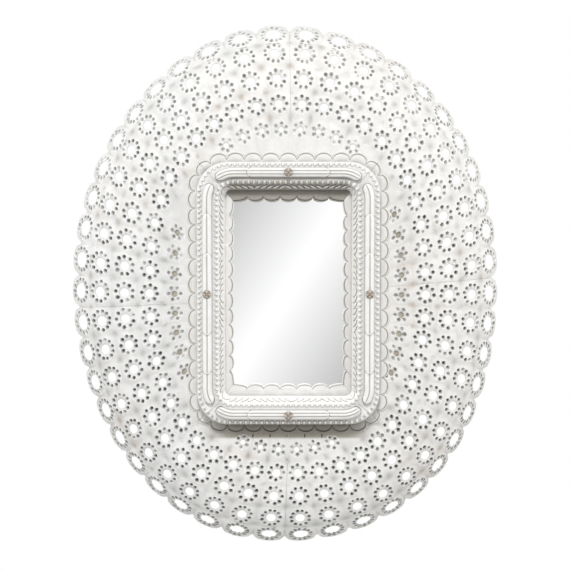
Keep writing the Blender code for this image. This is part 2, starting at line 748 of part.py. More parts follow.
def add_strap(finish):
    outline = strap_outline()
    hole = circle(EYE_OUTER, 0, EYE_INNER)
    curve = flat_curve("hanger_strap", [outline, hole], STRAP_WIDTH)
    turn = Matrix(((0, 0, 1, 0), (1, 0, 0, 0), (0, 1, 0, 0), (0, 0, 0, 1)))
    place = Matrix.Translation((0, BOARD_BACK + GAP, EYE_HEIGHT))
    shape = solid_from_curve(curve, place @ turn)
    return add_part("hanger_strap", mesh_from("hanger_strap", shape), finish)


def add_strap_screws(strap, finish):
    seat = BOARD_BACK + 2 * GAP + STRAP_THICKNESS
    length = STRAP_THICKNESS + 2 * GAP + SCREW_BITE
    profile = screw_profile(STRAP_SCREW_RADIUS, STRAP_SCREW_HEAD, STRAP_THICKNESS, length)
    reach = STRAP_SCREW_RADIUS + GAP
    bore = [(0, STRAP_LENGTH), (reach, STRAP_LENGTH), (reach, -STRAP_LENGTH), (0, -STRAP_LENGTH)]
    for share, (x, z) in strap_screw_places().items():
        name = "screw_hanger_" + share
        shape = point_backwards(lathe(profile), (x, seat, z))
        add_part(name, mesh_from(name, shape), finish, smooth=True)
        hole = point_backwards(lathe(bore, HOLE_SIDES), (x, seat, z))
        add_cut(strap, add_cutter("bore_" + name, hole))


def add_ring(finish):
    """A wire loop about its hinge line, with its top bar through the eye."""
    curve = bpy.data.curves.new("hanger_ring", "CURVE")
    curve.dimensions = "3D"
    curve.bevel_depth = RING_WIRE
    curve.bevel_resolution = 1
    path = rounded_rectangle(RING_HALF_WIDTH, -RING_DROP, 0, RING_CORNER, RING_CORNER_STEPS)
    spline = curve.splines.new("POLY")
    spline.points.add(len(path) - 1)
    for point, (x, z) in zip(spline.points, path):
        point.co = (x, 0, z, 1)
    spline.use_cyclic_u = True
    obj = add_part("hanger_ring", curve, finish)
    obj.location = (0, BOARD_BACK + GAP + EYE_OUTER, EYE_HEIGHT)
    return obj


def build():
    panel_tin = material("white_painted_tin", (0.80, 0.79, 0.76), 0.6, 0.0)
    frame_tin = material("white_painted_moulding", (0.82, 0.81, 0.78), 0.55, 0.0)
    bare_tin = material("bare_tin", (0.42, 0.41, 0.39), 0.5, 0.9)
    mirror = material("silvered_glass", (0.86, 0.87, 0.88), 0.02, 1.0)
    timber = material("pine", (0.48, 0.33, 0.19), 0.75, 0.0)
    steel = material("zinc_plated_steel", (0.55, 0.55, 0.54), 0.35, 1.0)
    rust = material("rusty_iron", (0.24, 0.13, 0.07), 0.7, 0.4)
    for name, first, last, columns, first_run, last_run in QUADRANTS:
        add_panel("panel_" + name, first, last, columns, first_run, last_run, panel_tin)
    for name, angle in SEAMS.items():
        add_seam_strap("seam_strap_" + name, angle, bare_tin)
    mouldings = {name: add_moulding("moulding_" + name, outward, frame_tin) for name, outward in SIDES}
    crests = {name: add_crest("crest_" + name, outward, frame_tin) for name, outward in SIDES}
    for name, outward in SIDES:
        outer = [outer_strip_outline(outward)]
        inner = [inner_strip_outline(outward)]
        add_plate("outer_scallop_" + name, outer, TIN, PANEL_Y - GAP - TIN, frame_tin)
        add_plate("inner_scallop_" + name, inner, TIN, GLASS_FRONT - GAP - TIN, frame_tin)
    add_glass(mirror)
    add_board(timber)
    add_rail_screws(add_rails(timber), steel)
    add_nails(mouldings, crests, rust)
    strap = add_strap(steel)
    add_strap_screws(strap, steel)
    add_ring(steel)


clear_scene()
PARTS = new_collection("oval_wall_mirror")
CUTTERS = new_collection("cutters")
build()
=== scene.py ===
"""Looks of an oval wall mirror: white-washed pierced tin round a raised tin frame, on a timber back.

Metres, +Z up. The front faces -Y, the wall plane is Y = 0. Left and right are as seen from the front.
"""

import math
import random

import bmesh
import bpy
import numpy as np
from mathutils import Matrix, Vector


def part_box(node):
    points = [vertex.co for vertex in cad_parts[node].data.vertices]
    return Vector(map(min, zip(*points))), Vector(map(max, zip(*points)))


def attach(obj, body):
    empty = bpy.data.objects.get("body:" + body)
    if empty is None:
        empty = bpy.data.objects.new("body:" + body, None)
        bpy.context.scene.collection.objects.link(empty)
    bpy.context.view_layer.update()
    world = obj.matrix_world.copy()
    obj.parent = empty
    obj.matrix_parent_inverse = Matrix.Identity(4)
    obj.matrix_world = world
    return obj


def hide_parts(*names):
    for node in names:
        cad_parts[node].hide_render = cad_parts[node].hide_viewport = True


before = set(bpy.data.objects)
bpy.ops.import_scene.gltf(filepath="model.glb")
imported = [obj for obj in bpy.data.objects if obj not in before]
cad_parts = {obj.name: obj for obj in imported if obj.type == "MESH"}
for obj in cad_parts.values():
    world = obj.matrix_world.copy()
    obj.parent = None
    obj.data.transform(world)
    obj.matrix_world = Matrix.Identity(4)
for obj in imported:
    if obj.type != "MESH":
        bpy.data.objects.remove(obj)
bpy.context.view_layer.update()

MM = 0.001
WELD = 0.002 * MM
GAP = 0.3 * MM
EIGHTH_TURN = math.pi / 4
QUARTER_TURN = math.pi / 2
FULL_TURN = 2 * math.pi

# Camera: how far it stands from the panel, how wide a field it sees there and what it aims at
CAMERA_DISTANCE = 2300 * MM
CAMERA_RISE = math.radians(3)
FIELD_AT_PANEL = 855 * MM
AIM_X = -5 * MM
AIM_Z = 12 * MM

# Stage: the floor, and a glowing card that the glass reflects as a painted reflection
WORLD_LIGHT = 0.31
FLOOR_RADIUS = 1.6
FLOOR_STEPS = 96
FLOOR_DOWN = 1.1
CARD_DISTANCE = 2.6
CARD_HALF = 0.8
CARD_LEAN = math.radians(33)
CARD_DOWN = 0.146
CARD_PEAK = 1.04
CARD_FALL = 1.65
CARD_LEAST = 0.15

# Oval panel
OVAL_WIDTH = 652 * MM
OVAL_HEIGHT = 793 * MM
OVAL_LEFT = 5 * MM
OVAL_UP = 8.5 * MM
OVAL_LEAN = 4.5 * MM
RIM_SQUARENESS = 2.1
INNER_SQUARENESS = 2.4
DOME_DEPTH = 54 * MM
DOME_POWER = 3.4
FLAT_SHARE = 0.6
ARC_SAMPLES = 201
ANGLE_PROBE = 0.01
SHEET = 0.9 * MM
WALL_GAP = 2 * MM
SCALLOP_DEPTH = 11 * MM

# Flower rows, counted from the rim
RIM_ROW_INSET = 13.7 * MM
SECOND_ROW_INSET = 45 * MM
ROW_PITCH = 37 * MM
FULL_ROWS = 4
FEWER_COLUMNS = 11
MORE_COLUMNS = 12
PETALS = [13, 11, 9, 8, 6]
HOLE_RADII = [11.7 * MM, 7.9 * MM, 7 * MM, 6.5 * MM, 4.2 * MM]
PETAL_RINGS = [16.8 * MM, 15.2 * MM, 13.6 * MM, 12.4 * MM, 10.2 * MM]
PETAL_REACH = 4 * MM
RIM_STRETCH = 1.06
RIM_LIP = 0.6 * MM
HOLE_LIP = 1 * MM
HOLE_LIP_RISE = 0.6 * MM
HOLE_EDGE_DROP = 0.7 * MM
HOLE_EDGE_SHADE = 0.35

# Rings of a cup from its lip inwards: radius, height, and pit, the painted shade of that ring, which is below
# 0 on the raised lip, painted lighter as a painted highlight
# Pit of a raised lip, which is painted lighter as a painted highlight
LIT_LIP = -0.4
CUP_RINGS = [
    (3.7 * MM, 0.9 * MM, LIT_LIP),
    (3.3 * MM, 0.55 * MM, 0.36),
    (2.7 * MM, -0.8 * MM, 0.5),
    (1.15 * MM, -2.2 * MM, 1.0),
]
CUP_STRETCH = 0.08

# Cells: a flower fills a share of its cell, and the marks of the hammer lie between the cells
FLOWER_ROOM = 0.485
CELL_SIDE = 44 * MM
CELL_STEPS = 8
CELL_PROBE = 0.1
INNER_CELL_POWER = 1.8
SAME_COLUMN = 0.001
CREASE = 0.12 * MM
CREASE_POWER = 6
DIMPLE = 0.8 * MM
DIMPLE_POWER = 4
DIMPLE_RADIUS = 8 * MM
MEAN_PITCH = 38 * MM

# How the hand strays, with turns in radians, and how much painted shade lies in the cups and dirt about them,
# both darker towards the bottom
FLOWER_WANDER = 1.2 * MM
FLOWER_TURN = 0.15
FLOWER_SIZES = (0.96, 1.03)
PETAL_WANDER = 0.35 * MM
CUP_SIZES = (0.88, 1.06)
CUP_DEPTHS = (0.7, 1.15)
INNER_CUP_DEPTH = 0.45
CUP_LEAN = 0.55 * MM
CUP_SLIP = 0.4 * MM
CUP_SHADE_TOP = 0.75
CUP_SHADE_BOTTOM = 1.4
CUP_SHADE_INNER_ROW = 0.75
CUP_SHADE_LEAST = 0.3
FLOWER_GRIME = 0.4

# Moulding, measured outwards from its crest line and forwards from the panel
FRAME_HALF_WIDTH = 120.5 * MM
FRAME_HALF_HEIGHT = 180 * MM
CORNER_RADIUS = 40 * MM
CORNER_GROWTH_IN = 1.2
CORNER_GROWTH_OUT = 0.4
CORNER_STEPS = 10
TIN = 0.8 * MM
FOOT_OUT = 17 * MM
SHOULDER_OUT = 15.5 * MM
SHOULDER_HEIGHT = 20 * MM
BEAD_OUT = 11.5 * MM
LAND_HALF = 8.5 * MM
LAND_HEIGHT = 26 * MM
BEAD_IN = 13.7 * MM
LEAF_TOP_IN = 16.2 * MM
LEAF_TOP_DROP = 2.5 * MM
LEAF_FOOT_IN = 25 * MM
LEAF_FOOT_HEIGHT = 9 * MM
WALL_IN = 26.2 * MM
FOLD_ROWS = (1, 3, 4, 6, 7)
FOLD_ANGLE = math.radians(8)
FOLD_EASE = 0.7 * MM
FOLD_GRIME = 0.3
FACE_GRIME = 0.1
LAND_EDGE_SHADE = 0.1
LAND_EDGE_SHADE_GAIN = 0.6

# Beads and leaves
BEAD_PITCH = 7.9 * MM
BEAD_RADIUS = 3.4 * MM
BEAD_RISE = 2.4 * MM
BEAD_SHADE = 0.75
BEAD_SIDE_SHADE = 0.8
BEAD_SHADE_START = 0.2
LEAF_PITCH = 9 * MM
LEAF_LENGTH = 16.5 * MM
LEAF_WIDTH = 4.6 * MM
LEAF_RISE = 2.1 * MM
LEAF_SLANT = math.radians(42)
LEAF_TURN = 54 * MM
LEAF_SUNK = 0.45
LEAF_SHADE = 0.5
LEAF_GRIME = 0.2
LEAF_FOOT_GRIME = 0.8
VEIN_WIDTH = 0.18
VEIN_DEPTH = 0.35

# Crest feathers: where each ends, measured along a side from its middle
CREST_HALF = 7.5 * MM
CREST_RISE = 8 * MM
CREST_ARCH = 0.8
CREST_STEPS = 30
CREST_LAST_TURN = {"short": math.radians(41), "long": math.radians(35)}
FEATHER_ENDS = {"short": [62 * MM], "long": [62 * MM, 120 * MM]}
FEATHER_TIP = 7 * MM
FEATHER_TUCK = 9 * MM
FEATHER_STEP = 3 * MM
TIP_STEPS = 6
TIP_RISE = 0.7
TIP_LINE = 0.8
TIP_FADE = 3
TIP_SHADE = 0.8
TUCKED_RISE = 0.6
TUCKED_SHARE = 0.6
REED_PLACES = {"short": (-0.36, 0.3), "long": (0.0,)}
REED_WIDTH = 0.13
REED_DEPTH = 1.3 * MM
REED_SHADE = 0.55
REED_GRIME = 0.3

# Scalloped strips
OUTER_STRIP_IN = 12 * MM
OUTER_VALLEY = 21.5 * MM
OUTER_TIP = 31.5 * MM
OUTER_PITCH = 25.5 * MM
INNER_STRIP_OUT = 19 * MM
INNER_SCALLOP_DEPTH = 6 * MM
INNER_TIP_SIDES = 39.5 * MM
INNER_TIP_ENDS = 44 * MM
INNER_PITCH = 23.5 * MM
INNER_CORNER_RUN = 21 * MM
STRIP_STEPS = 10
STRIP_ROWS = 10
EDGE_STEP = 0.5 * MM
EDGE_RIDGE = 0.9 * MM
RIDGE_IN = 1 * MM
GROOVE_IN = 2.9 * MM
GROOVE_DEPTH = 0.35
GROOVE_SHADE = 0.5
OUTER_GROOVE_GRIME = 0.8
INNER_GROOVE_GRIME = 0.6
LINE_HALF = 0.8 * MM

# Glass and nails. The shape of a nail's rosette is in shares of its head
GLASS_THICKNESS = 4 * MM
BOARD_CLEARANCE = 1.2 * MM
CAD_SHEET = 1 * MM
NAIL_RADIUS = 1.3 * MM
NAIL_BITE = 10 * MM
ROSETTE_RADIUS = 6.4 * MM
ROSETTE_RISE = 3.3 * MM
ROSETTE_RINGS = 8
ROSETTE_STEPS = 48
ROSETTE_POWER = 2.4
ROSETTE_EDGE = 0.2
ROSETTE_MIDDLE = 0.05
LOBE_POWER = 0.6
LOBE_WAIST = 0.2
LOBE_CUT = 0.5
CORE_WIDTH = 0.3
CORE_LINE = 0.36
CORE_LINE_WIDTH = 0.1
CORE_LINE_DEPTH = 0.25

# Screws: small ones have a flatter head, and their shape is in shares of their radii and head height
SCREW_STEPS = 20
SMALL_SCREW = 3.5 * MM
SMALL_HEAD = 0.47
LARGE_HEAD = 0.62
SCREW_TIP_RADIUS = 0.6
SCREW_TIP_HEIGHT = 0.4
HEAD_CROWN = 0.35
HEAD_FLAT = 0.86
HEAD_FLAT_DOWN = 0.06
SLOT_HALF = 0.14
SLOT_DRAFT = 0.03
SLOT_DEPTH = 0.45

# Eased edges of the timber and the hanger
TIMBER_EASE = 1 * MM
STRAP_EASE = 0.3 * MM
WIRE_EASE = 0.02 * MM
FLAT_ANGLE = math.radians(1)
SHARP_ANGLE = math.radians(50)
SMOOTH_ANGLE = math.radians(40)

# Places that follow from the sizes above
PANEL_Y = -(WALL_GAP + DOME_DEPTH)
BOARD_FRONT = PANEL_Y + CAD_SHEET + BOARD_CLEARANCE
GLASS_FRONT = BOARD_FRONT - GAP - GLASS_THICKNESS
GLASS_HEIGHT = PANEL_Y - GLASS_FRONT
OPENING_MARGIN = 5.5 * MM
OPENING_SQUARENESS = 10
OPENING_HALF_WIDTH = FRAME_HALF_WIDTH + OPENING_MARGIN
OPENING_HALF_HEIGHT = FRAME_HALF_HEIGHT + OPENING_MARGIN
ROW_INSETS = [RIM_ROW_INSET] + [SECOND_ROW_INSET + ROW_PITCH * row for row in range(FULL_ROWS)]
BAND_INSETS = [0.0] + [(a + b) / 2 for a, b in zip(ROW_INSETS, ROW_INSETS[1:])]
MOULDING_PROFILE = [
    (FOOT_OUT, TIN + 2 * GAP),
    (SHOULDER_OUT, SHOULDER_HEIGHT),
    (BEAD_OUT, LAND_HEIGHT - TIN),
    (LAND_HALF, LAND_HEIGHT),
    (-LAND_HALF, LAND_HEIGHT),
    (-BEAD_IN, LAND_HEIGHT - TIN),
    (-LEAF_TOP_IN, LAND_HEIGHT - LEAF_TOP_DROP),
    (-LEAF_FOOT_IN, LEAF_FOOT_HEIGHT),
    (-WALL_IN, GLASS_HEIGHT + TIN + 2 * GAP),
]

# Seams between the quadrants, as ellipse angles
SEAMS = {
    "right": math.radians(2.0),
    "top": math.radians(88.8),
    "left": math.radians(184.7),
    "bottom": math.radians(269.8),
}

# Quadrants: name, seams before and after it, columns, inner flowers next to the first and the last seam
QUADRANTS = [
    ("top_right", SEAMS["right"], SEAMS["top"], FEWER_COLUMNS, 4, 4),
    ("top_left", SEAMS["top"], SEAMS["left"], MORE_COLUMNS, 4, 4),
    ("bottom_left", SEAMS["left"], SEAMS["bottom"], FEWER_COLUMNS, 4, 3),
    ("bottom_right", SEAMS["bottom"], SEAMS["right"] + FULL_TURN, MORE_COLUMNS, 3, 5),
]

# Sides of the moulding, clockwise, with their outward direction in X and Z
SIDES = {"top": (0, 1), "right": (1, 0), "bottom": (0, -1), "left": (-1, 0)}
UPRIGHTS = ("left", "right")

# Painted shade on the faces of each side that look at the glass, and on those that look away from it: most on
# the top member's inner faces and under the bottom member, where the frame shades them from the lamp above
GLASS_SIDE_SHADE = {"top": 0.57, "right": 0.19, "bottom": 0.0, "left": 0.14}
OUTER_SIDE_SHADE = {"top": 0.15, "right": 0.18, "bottom": 0.55, "left": 0.18}

# The strip of panel under the frame where the frame's shadow is painted, and the slits in it for the frame's
# tabs, painted black
SHADOW_REACH = 41 * MM
SHADOW_EDGE = 4 * MM
SLITS_MIDDLE = -1.4 * MM
SLITS_DOWN = FRAME_HALF_HEIGHT + OUTER_TIP + 4 * MM
SLIT_PITCH = 26 * MM
SLIT_WIDTH = 2 * MM
SLIT_HEIGHT = 5 * MM

# Brush strokes and wood grain are drawn out along one axis, where their pattern has this scale
STROKE_STRETCH = 0.05
GRAIN_STRETCH = 0.06

# Colours of the wash, its dirt and what shows through it
COOL_WHITE = (0.90, 0.895, 0.88)
WARM_WHITE = (0.915, 0.90, 0.865)
CREAM = (0.96, 0.953, 0.935)
HIGHLIGHT_WHITE = (0.96, 0.957, 0.945)
DULL_WHITE = (0.70, 0.695, 0.68)
BETWEEN_SHADE_GREY = (0.64, 0.64, 0.62)
STROKE_GREY = (0.52, 0.51, 0.48)
STAIN_GREY = (0.52, 0.515, 0.50)
STAIN_BROWN = (0.50, 0.42, 0.35)
LINE_GREY = (0.42, 0.40, 0.38)
SHADOW_BROWN = (0.39, 0.36, 0.295)
SLIT_SHADE_BLACK = (0.04, 0.037, 0.033)
RUST = (0.62, 0.50, 0.40)
PANEL_SHADE_GREY = (0.43, 0.43, 0.415)
FRAME_SHADE_TEA = (0.40, 0.38, 0.33)
SHADE_BLACK = (0.075, 0.07, 0.064)


# Node materials
class Wire:
    """One value in a node tree. Arithmetic on it adds Math nodes."""

    def __init__(self, nodes, socket):
        self.nodes = nodes
        self.socket = socket

    def math(self, operation, *others):
        return self.nodes.math(operation, self, *others)

    def __add__(self, other):
        return self.math("ADD", other)

    def __sub__(self, other):
        return self.math("SUBTRACT", other)

    def __rsub__(self, other):
        return self.nodes.math("SUBTRACT", other, self)

    def __mul__(self, other):
        return self.math("MULTIPLY", other)

    def __pow__(self, other):
        return self.math("POWER", other)

    def __abs__(self):
        return self.math("ABSOLUTE")

    __radd__ = __add__
    __rmul__ = __mul__


class Nodes:
    """A node tree under construction."""

    def __init__(self, tree):
        self.tree = tree

    def add(self, kind, settings=None, sockets=None, output=0):
        """Adds a node, sets its settings and then its sockets, and returns one of its outputs."""
        node = self.tree.nodes.new(kind)
        for name, value in (settings or {}).items():
            setattr(node, name, value)
        for name, value in (sockets or {}).items():
            self.join(node.inputs[name], value)
        return Wire(self, node.outputs[output])

    def join(self, socket, value):
        if isinstance(value, Wire):
            self.tree.links.new(value.socket, socket)
        else:
            socket.default_value = value

    def math(self, operation, *values):
        return self.add("ShaderNodeMath", {"operation": operation}, dict(enumerate(values)))

    def place(self):
        return self.add("ShaderNodeTexCoord", output="Object")

    def axis(self, name):
        return self.add("ShaderNodeSeparateXYZ", None, {0: self.place()}, name)

    def noise(self, scale, detail=3, stretch=(1, 1, 1)):
        spot = self.add("ShaderNodeMapping", None, {"Vector": self.place(), "Scale": stretch})
        return self.add("ShaderNodeTexNoise", None, {"Vector": spot, "Scale": scale, "Detail": detail})

    def attribute(self, name):
        return self.add("ShaderNodeAttribute", {"attribute_name": name}, None, "Fac")

    def step(self, value, low, high):
        """0 below low, 1 above high, smooth between."""
        ends = {"Value": value, "From Min": low, "From Max": high}
        return self.add("ShaderNodeMapRange", {"interpolation_type": "SMOOTHSTEP"}, ends)

    def below(self, value, low, high):
        """1 below low, 0 above high, smooth between."""
        return 1 - self.step(value, low, high)

    def mix(self, factor, first, second):
        """A colour between two colours."""
        first, second = ((*c, 1) if isinstance(c, tuple) else c for c in (first, second))
        return self.add("ShaderNodeMix", {"data_type": "RGBA"}, {0: factor, 6: first, 7: second}, 2)

    def bump(self, height, distance, strength):
        sockets = {"Height": height, "Distance": distance, "Strength": strength}
        return self.add("ShaderNodeBump", None, sockets)


class Finish(Nodes):
    """A material with one Principled shader."""

    def __init__(self, name):
        self.material = bpy.data.materials.new(name)
        self.material.use_nodes = True
        super().__init__(self.material.node_tree)
        self.shader = self.tree.nodes["Principled BSDF"]

    def set(self, **values):
        """Sets the shader's sockets, named in lower case with _ for a space."""
        for name, value in values.items():
            socket = self.shader.inputs[name.replace("_", " ").title()]
            self.join(socket, (*value, 1) if isinstance(value, tuple) and len(value) == 3 else value)
        return self.material


def hammer_marks(paint, mottle):
    """Soft grey marks where four flowers meet, a patchy painted shade on the sheet about them, and a faint
    line between two columns.
    """
    band = paint.attribute("band")
    beside = paint.attribute("column").math("PINGPONG", 0.5) * MEAN_PITCH
    above = band.math("PINGPONG", 0.5) * MEAN_PITCH
    away = (beside * beside + above * above) ** 0.5
    worn = paint.step(mottle, 0.28, 0.56)
    spot = paint.below(away, 0, DIMPLE_RADIUS) * paint.step(band, 0.5, 0.7) * worn
    between = paint.below(away, 0.1 * MEAN_PITCH, 0.5 * MEAN_PITCH) * worn
    line = paint.below(beside, 0.2 * MM, 1.3 * MM) * paint.below(band, 0.3, 0.8) * 0.3
    return spot, between, line


def under_frame_shadow(paint):
    """1 on the strip of panel under the frame's lower edge, where the frame's shadow is painted."""
    height = paint.axis("Z")
    low_end = -FRAME_HALF_HEIGHT - SHADOW_REACH
    above_end = paint.step(height, low_end, low_end + SHADOW_EDGE)
    below_frame = paint.below(height, -FRAME_HALF_HEIGHT, SHADOW_EDGE - FRAME_HALF_HEIGHT)
    aside = abs(paint.axis("X"))
    inside = paint.below(aside, FRAME_HALF_WIDTH - CORNER_RADIUS, FRAME_HALF_WIDTH + OUTER_VALLEY)
    return above_end * below_frame * inside


def tab_slits(paint):
    """1 in the row of short upright slits under the frame, where its tabs go through the panel. They are not
    cut but painted black, as the shade seen through them.
    """
    aside = paint.axis("X") - SLITS_MIDDLE
    away = abs(paint.axis("Z") + SLITS_DOWN)
    near = paint.below(aside.math("PINGPONG", SLIT_PITCH / 2), 0.3 * SLIT_WIDTH, 0.6 * SLIT_WIDTH)
    level = paint.below(away, 0.4 * SLIT_HEIGHT, 0.6 * SLIT_HEIGHT)
    inside = paint.below(abs(aside), 2.4 * SLIT_PITCH, 2.5 * SLIT_PITCH)
    return near * level * inside


def white_washed(name, white_cool, white_warm, shade_colour, dirt, rust_share, brushed=None):
    """White paint over tin, with dirt, painted shade in the marks, a painted highlight on raised lips, and
    rust coming through.

    The frame is brushed along its members: brushed is small along the strokes. The panel is dabbed.
    """
    paint = Finish(name)
    cloud = paint.noise(7, 4)
    mottle = paint.noise(45, 4)
    grain = paint.noise(420, 2)
    warm = paint.step(paint.axis("X") * 1.6 + cloud, 0.1, 0.9)
    white = paint.mix(warm, white_cool, white_warm)
    white = paint.mix(paint.step(paint.noise(130, 3), 0.45, 0.75) * 0.2, white, DULL_WHITE)
    stain = paint.mix(paint.step(cloud + mottle * 0.4, 0.68, 0.84), STAIN_GREY, STAIN_BROWN)
    grime = paint.attribute("grime") * paint.step(mottle, 0.34, 0.62) * dirt
    colour = paint.mix(grime, white, stain)
    height = mottle * 0.55 + grain * 0.12 + cloud * 1.2
    if brushed:
        stroke = paint.step(paint.noise(300, 3, brushed), 0.55, 0.66)
        colour = paint.mix(stroke * 0.2, colour, STROKE_GREY)
        height = height - stroke * 0.15
    else:
        spot, between, line = hammer_marks(paint, mottle)
        # Patchy painted shade on the sheet between the raised flowers
        colour = paint.mix(between * 0.32, colour, BETWEEN_SHADE_GREY)
        colour = paint.mix(spot * 0.8, colour, stain)
        colour = paint.mix(line, colour, LINE_GREY)
        # Painted shadow of the frame on the panel below it
        colour = paint.mix(under_frame_shadow(paint) * 0.9, colour, SHADOW_BROWN)
        # The tab slits painted black, as painted shade
        colour = paint.mix(tab_slits(paint), colour, SLIT_SHADE_BLACK)
        height = height - spot * 0.8
    rust = paint.step(cloud, 0.60, 0.70) * paint.step(mottle, 0.52, 0.66) * rust_share
    colour = paint.mix(rust, colour, RUST)
    pit = paint.attribute("pit")
    # Painted highlight on raised lips
    colour = paint.mix(paint.below(pit, LIT_LIP, 0.0), colour, HIGHLIGHT_WHITE)
    # Painted shade in pits, grooves and on the faces that the frame shades
    painted_shade = paint.mix(paint.step(pit, 0.5, 1.0), shade_colour, SHADE_BLACK)
    colour = paint.mix(paint.step(pit, 0.0, 0.6), colour, painted_shade)
    rough = 0.42 + mottle * 0.22 + pit * 0.25
    return paint.set(base_color=colour, roughness=rough, normal=paint.bump(height, 1.1 * MM, 0.55))


def dull_tin():
    metal = Finish("dull_tin")
    cloud = metal.noise(30, 4)
    streak = metal.noise(60, 3, (1, 1, 0.1))
    colour = metal.mix(metal.step(cloud, 0.35, 0.7), (0.45, 0.44, 0.42), (0.29, 0.26, 0.23))
    rough = 0.38 + streak * 0.3
    bumps = metal.bump(streak, 0.4 * MM, 0.4)
    return metal.set(base_color=colour, roughness=rough, metallic=0.9, normal=bumps)


def silvered_glass():
    glass = Finish("silvered_glass")
    haze = glass.step(glass.noise(14, 3), 0.55, 0.8)
    colour = glass.mix(haze, (0.965, 0.966, 0.974), (0.95, 0.951, 0.959))
    return glass.set(base_color=colour, roughness=haze * 0.012, metallic=1.0)


def pine(name, stretch):
    """Aged pine with its grain along one axis: stretch is small along the grain."""
    wood = Finish(name)
    ring = wood.noise(75, 5, stretch)
    fibre = wood.noise(520, 2, stretch)
    age = wood.noise(9, 3)
    band = wood.step(ring, 0.40, 0.62)
    colour = wood.mix(band, (0.60, 0.55, 0.45), (0.46, 0.40, 0.31))
    colour = wood.mix(wood.step(age, 0.40, 0.70) * 0.8, colour, (0.55, 0.53, 0.47))
    rough = 0.62 + fibre * 0.25
    height = ring * 0.6 + fibre * 0.4
    return wood.set(base_color=colour, roughness=rough, normal=wood.bump(height, 0.7 * MM, 0.6))


def zinc_steel():
    zinc = Finish("zinc_steel")
    cloud = zinc.noise(160, 4)
    spot = zinc.step(zinc.noise(420, 3), 0.6, 0.75)
    colour = zinc.mix(spot, (0.60, 0.60, 0.58), (0.36, 0.31, 0.26))
    rough = 0.25 + cloud * 0.3
    bumps = zinc.bump(cloud, 0.15 * MM, 0.4)
    return zinc.set(base_color=colour, roughness=rough, metallic=1.0, normal=bumps)


def rusty_iron():
    """Rust-brown iron with the white wash left in its recesses."""
    iron = Finish("rusty_iron")
    mottle = iron.noise(420, 4)
    colour = iron.mix(iron.step(mottle, 0.35, 0.68), (0.22, 0.17, 0.13), (0.43, 0.36, 0.29))
    colour = iron.mix(iron.attribute("pit") * iron.step(mottle, 0.2, 0.5), colour, (0.80, 0.78, 0.73))
    rough = 0.55 + mottle * 0.3
    bumps = iron.bump(mottle, 0.4 * MM, 0.6)
    return iron.set(base_color=colour, roughness=rough, metallic=0.15, normal=bumps)


# Pieces
def linked(name, data):
    """A new object in the scene."""
    made = bpy.data.objects.new(name, data)
    bpy.context.scene.collection.objects.link(made)
    return made


def mesh_object(name, shape, finish):
    """A new object with the mesh of a shape, in one finish."""
    data = bpy.data.meshes.new(name)
    shape.to_mesh(data)
    shape.free()
    data.materials.append(finish)
    return linked(name, data)


def mesh_piece(name, shape, finish, nodes=(), body="mirror"):
    """Makes a piece from a shape, with its finish, the body it rides on and the nodes it stands for."""
    piece = mesh_object(name, shape, finish)
    piece.data.shade_smooth()
    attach(piece, body)
    if nodes:
        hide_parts(*nodes)
    return piece


def sheet_piece(name, shape, finish, node, thickness):
    """Makes a piece of sheet metal from its front face. The thickness lies behind that."""
    piece = mesh_piece(name, shape, finish, [node])
    shell = piece.modifiers.new("Sheet thickness", "SOLIDIFY")
    shell.thickness = thickness
    shell.offset = -1


def new_shape():
    """An empty shape whose points carry marks."""
    shape = bmesh.new()
    shape.verts.layers.float.new("pit")
    shape.verts.layers.float.new("grime")
    return shape


def marks(shape):
    """The marks of a shape's points: how deep in a pit they lie, which sets their painted shade, below 0 on
    raised lips that get a painted highlight, and their dirt.
    """
    layers = shape.verts.layers.float
    return layers["pit"], layers["grime"]


def everything(shape):
    return shape.verts[:] + shape.edges[:] + shape.faces[:]


def verts_in(geometry):
    return [part for part in geometry if isinstance(part, bmesh.types.BMVert)]


def edges_in(geometry):
    return [part for part in geometry if isinstance(part, bmesh.types.BMEdge)]


def edges_at(verts):
    """The edges that meet some points, each once and in the same order every run."""
    return list(dict.fromkeys(edge for vert in verts for edge in vert.link_edges))


def face_forwards(shape):
    """Turns every face of an open sheet so that the front side looks towards -Y."""
    shape.normal_update()
    if sum(face.normal.y * face.calc_area() for face in shape.faces) > 0:
        bmesh.ops.reverse_faces(shape, faces=shape.faces[:])


def ease(shape, edges, offset, segments):
    """Rounds some edges of a shape."""
    bmesh.ops.bevel(
        shape, geom=edges, offset=offset, offset_type="OFFSET", segments=segments, profile=0.5,
        affect="EDGES", material=-1, clamp_overlap=True,
    )


def move(shape, matrix):
    bmesh.ops.transform(shape, matrix=matrix, verts=shape.verts[:])


def bell(distance, width):
    """1 at no distance, falling off smoothly to both sides."""
    return math.exp(-((distance / width) ** 2))


def placed_grid(columns, rows, place):
    """A sheet whose grid points lie where place(column, row) says: a point, a pit value for painted shade and
    a dirt value.
    """
    shape = new_shape()
    pit, grime = marks(shape)
    bmesh.ops.create_grid(shape, x_segments=columns, y_segments=rows, size=0.5)
    for vert in shape.verts:
        column = round((vert.co.x + 0.5) * columns)
        row = round((vert.co.y + 0.5) * rows)
        vert.co, vert[pit], vert[grime] = place(column, row)
    bmesh.ops.remove_doubles(shape, verts=shape.verts[:], dist=WELD)
    face_forwards(shape)
    return shape


# Oval panel
def ring_point(half_width, half_height, squareness, angle):
    """Point (x, z) of a squarish oval in the direction of an ellipse angle."""
    across = math.cos(angle)
    up = math.sin(angle)
    reach = (abs(across) ** squareness + abs(up) ** squareness) ** (-1 / squareness)
    return half_width * reach * across, half_height * reach * up


def dome(inset):
    """How far the panel falls back towards the wall at this inset from the rim."""
    share = 1 - 4 * inset / (OVAL_WIDTH + OVAL_HEIGHT)
    fall = max(0.0, share - FLAT_SHARE) / (1 - FLAT_SHARE)
    return DOME_DEPTH * fall**DOME_POWER


